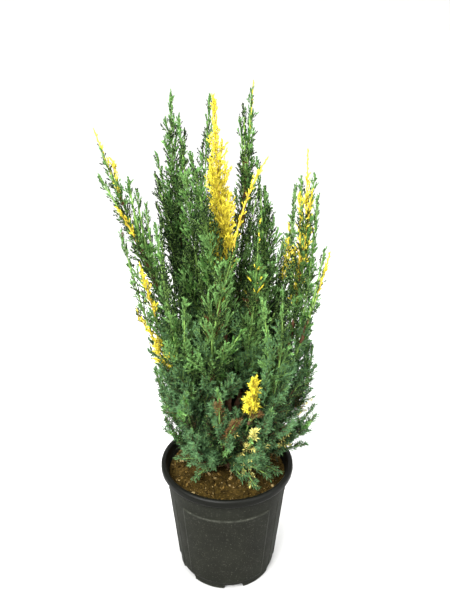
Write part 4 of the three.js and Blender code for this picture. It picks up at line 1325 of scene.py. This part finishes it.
class MakeFoliage(bpy.types.Operator):
    """Grows the twigs and the needles on the stems"""

    bl_idname = "juniper.make_foliage"
    bl_label = "Foliage"

    def execute(self, context):
        settings = context.scene.juniper_foliage
        wood = context.scene.juniper_wood
        rng = np.random.default_rng(SEED)
        shoots, branchlets = grow_all(settings, rng)
        self.put_twigs(shoots, branchlets, wood)
        shoot_needles, shoot_axes = needles(shoots, settings, rng, 0.25)
        tip_needles, tip_axes = needles(branchlets, settings, rng, 0.08)
        points = np.concatenate([shoot_needles, tip_needles])
        kinds = np.concatenate([shoot_axes.kind, tip_axes.kind])
        owners = np.concatenate([shoot_axes.plume, tip_axes.plume])
        clear = points[:, :, 2].min(1) > SOIL_MIDDLE - 2
        warm = {"yellow": linear("b9aa40"), "cream": linear("a8a067"), "dead": linear("38250f")}
        names = [plume.node for plume in read_plumes()]
        for index, kind in enumerate(KINDS):
            shade = getattr(settings, kind)
            material = waxy_needle(f"{kind}_needle", shade, warm.get(kind, linear("486030")))
            slot = "foliage_yellow" if kind in ("yellow", "cream") else "foliage_green"
            chosen = np.flatnonzero((kinds == index) & clear)
            pieces = max(1, math.ceil(len(chosen) / NEEDLES_IN_PIECE))
            for number, rows in enumerate(np.array_split(chosen, pieces)):
                corners = points[rows].reshape(-1, 3)
                first = 4 * np.arange(len(rows))[:, None]
                faces = np.concatenate([first + [0, 1, 3], first + [0, 3, 2]])
                nodes = sorted({f"foliage_{names[n]}" for n in np.unique(owners[rows])})
                name = f"needles_{kind}" + (f"_{number + 1}" if pieces > 1 else "")
                put_mesh(name, corners, [faces], material, slot, nodes, smooth=False)
        return {"FINISHED"}

    def put_twigs(self, shoots, branchlets, wood):
        """Twigs: three-sided tubes along the shoots and three-sided spikes along the branchlets, brown
        low in the plant."""
        share = np.linspace(0, 1, 3)
        centres = np.stack([follow(shoots, part)[0] for part in share], 1)
        radii = np.sqrt(shoots.size / 60)[:, None] * lerp(0.95, 0.3, share)
        root, along = follow(branchlets, 0)
        one, other = cross_frame(along, branchlets.side)
        ring = [root + BRANCHLET_RADIUS * (one * math.cos(t) + other * math.sin(t)) for t in bearings(3)]
        corners = np.stack([*ring, follow(branchlets, 0.9)[0]], 1)
        gold, gold_spikes = (of_kind(group, "yellow", "cream") for group in (shoots, branchlets))
        low, low_spikes = shoots.root[:, 2] < 330, branchlets.root[:, 2] < 300
        looks = (
            ("brown_twigs", low & ~gold, low_spikes & ~gold_spikes, "bark", wood.bark),
            ("green_twigs", ~low & ~gold, ~low_spikes & ~gold_spikes, "foliage_green", wood.green_shoot),
            ("gold_twigs", gold, gold_spikes, "foliage_yellow", wood.gold_shoot),
        )
        for name, rows, spikes, slot, shade in looks:
            points, faces = tubes(centres[rows], radii[rows], 3)
            first = len(points) + 4 * np.arange(spikes.sum())[:, None]
            sides = [first + side for side in ([0, 1, 3], [1, 2, 3], [2, 0, 3], [0, 2, 1])]
            points = np.concatenate([points, corners[spikes].reshape(-1, 3)])
            put_mesh(name, points, [*faces, np.concatenate(sides)], young_rind(name + "_rind", shade), slot)


class MakeStage(bpy.types.Operator):
    """Sets out the seamless paper, the soft lights and the camera"""

    bl_idname = "juniper.make_stage"
    bl_label = "Stage"

    def execute(self, context):
        settings = context.scene.juniper_stage
        self.put_floor(settings)
        self.put_lights(settings)
        camera = bpy.data.objects.new("camera", bpy.data.cameras.new("camera"))
        camera.data.sensor_width = SENSOR
        camera.data.lens = LENS
        camera.location = CAMERA_PLACE
        camera.rotation_euler = (math.radians(90 - CAMERA_TILT_DEG), 0, 0)
        camera.data.clip_start = 0.01
        context.scene.collection.objects.link(camera)
        context.scene.camera = camera
        context.scene.view_settings.view_transform = "Standard"
        return {"FINISHED"}

    def put_floor(self, settings):
        """A round sheet, flat in the middle, curved up all round in a quarter circle and then upright, so
        that no view meets an edge."""
        flat, curl, columns = 2.4, 1.6, 96
        bend = np.linspace(0.1, np.pi / 2, 14)
        radius = np.concatenate([np.linspace(0.2, flat, 6), flat + curl * np.sin(bend), [flat + curl]])
        height = np.concatenate([np.zeros(6), curl * (1 - np.cos(bend)), [curl + 1]])
        radius, height = radius[:, None], height[:, None]
        turn = bearings(columns)
        grid = np.stack([radius * np.cos(turn), radius * np.sin(turn), height * np.ones(columns)], -1)
        points = np.concatenate([grid.reshape(-1, 3), [[0, 0, 0]]])
        first = np.arange(columns)
        after = (first + 1) % columns
        inner = (np.arange(len(radius) - 1) * columns)[:, None]
        outer = inner + columns
        quads = np.stack([inner + first, outer + first, outer + after, inner + after], -1).reshape(-1, 4)
        middle = np.stack([np.full(columns, len(points) - 1), first, after], 1)
        put_mesh("floor", points / MM, [quads, middle], seamless_paper(settings), None)

    def put_lamp(self, name, across, watts, place, turned):
        """A square lamp, that many metres across."""
        data = bpy.data.lights.new(name, "AREA")
        data.size = across
        data.energy = watts
        lamp = bpy.data.objects.new(name, data)
        lamp.location = place
        lamp.rotation_euler = turned
        bpy.context.scene.collection.objects.link(lamp)

    def put_lights(self, settings):
        """A large key light high at the front left, a fill at the right and one above, all aimed at the
        foot of the crown; four that turn outwards, to the backdrop; and a faint white sky."""
        for name, place, across, share in (
            ("key", (-1.0, -1.5, 1.9), 1.2, 1.15),
            ("fill", (1.5, -1.2, 1.1), 1.4, 0.3),
            ("top", (0.2, 0.3, 2.3), 1.2, 0.65),
        ):
            x, y, z = np.array([0, 0, 0.35]) - np.array(place)
            turned = (math.atan2(math.hypot(x, y), -z), 0, math.atan2(y, x) - math.pi / 2)
            self.put_lamp(name, across, settings.soft_power * share, place, turned)
        for number in range(4):
            turn = number * math.pi / 2 + math.pi / 4
            turned = (math.radians(68), 0, turn - math.pi / 2)
            watts = settings.backdrop_power
            self.put_lamp(f"backdrop_{number + 1}", 1.5, watts, polar(turn, 0.8, 2.6), turned)
        world = bpy.data.worlds.new("white_sky")
        world.use_nodes = True
        world.node_tree.nodes["Background"].inputs["Color"].default_value = (1, 1, 1, 1)
        world.node_tree.nodes["Background"].inputs["Strength"].default_value = 0.1
        bpy.context.scene.world = world


OPERATORS = (MakePot, MakeSoil, MakeWood, MakeFoliage, MakeStage)
SETTINGS = {
    "juniper_pot": PotSettings,
    "juniper_soil": SoilSettings,
    "juniper_wood": WoodSettings,
    "juniper_foliage": FoliageSettings,
    "juniper_stage": StageSettings,
}


class JuniperPanel(bpy.types.Panel):
    """Lists the steps and their settings"""

    bl_idname = "VIEW3D_PT_juniper"
    bl_label = "Potted juniper"
    bl_space_type = "VIEW_3D"
    bl_region_type = "UI"
    bl_category = "Juniper"

    def draw(self, context):
        for operator, (key, group) in zip(OPERATORS, SETTINGS.items()):
            box = self.layout.box()
            box.operator(operator.bl_idname)
            for name in group.__annotations__:
                box.prop(getattr(context.scene, key), name)


def register():
    for group in (*SETTINGS.values(), *OPERATORS, JuniperPanel):
        bpy.utils.register_class(group)
    for key, group in SETTINGS.items():
        setattr(bpy.types.Scene, key, bpy.props.PointerProperty(type=group))


def unregister():
    for key in SETTINGS:
        delattr(bpy.types.Scene, key)
    for group in reversed((*SETTINGS.values(), *OPERATORS, JuniperPanel)):
        bpy.utils.unregister_class(group)


def main():
    register()
    bpy.ops.juniper.make_pot()
    bpy.ops.juniper.make_soil()
    bpy.ops.juniper.make_wood()
    bpy.ops.juniper.make_foliage()
    bpy.ops.juniper.make_stage()


if __name__ == "__main__":
    main()
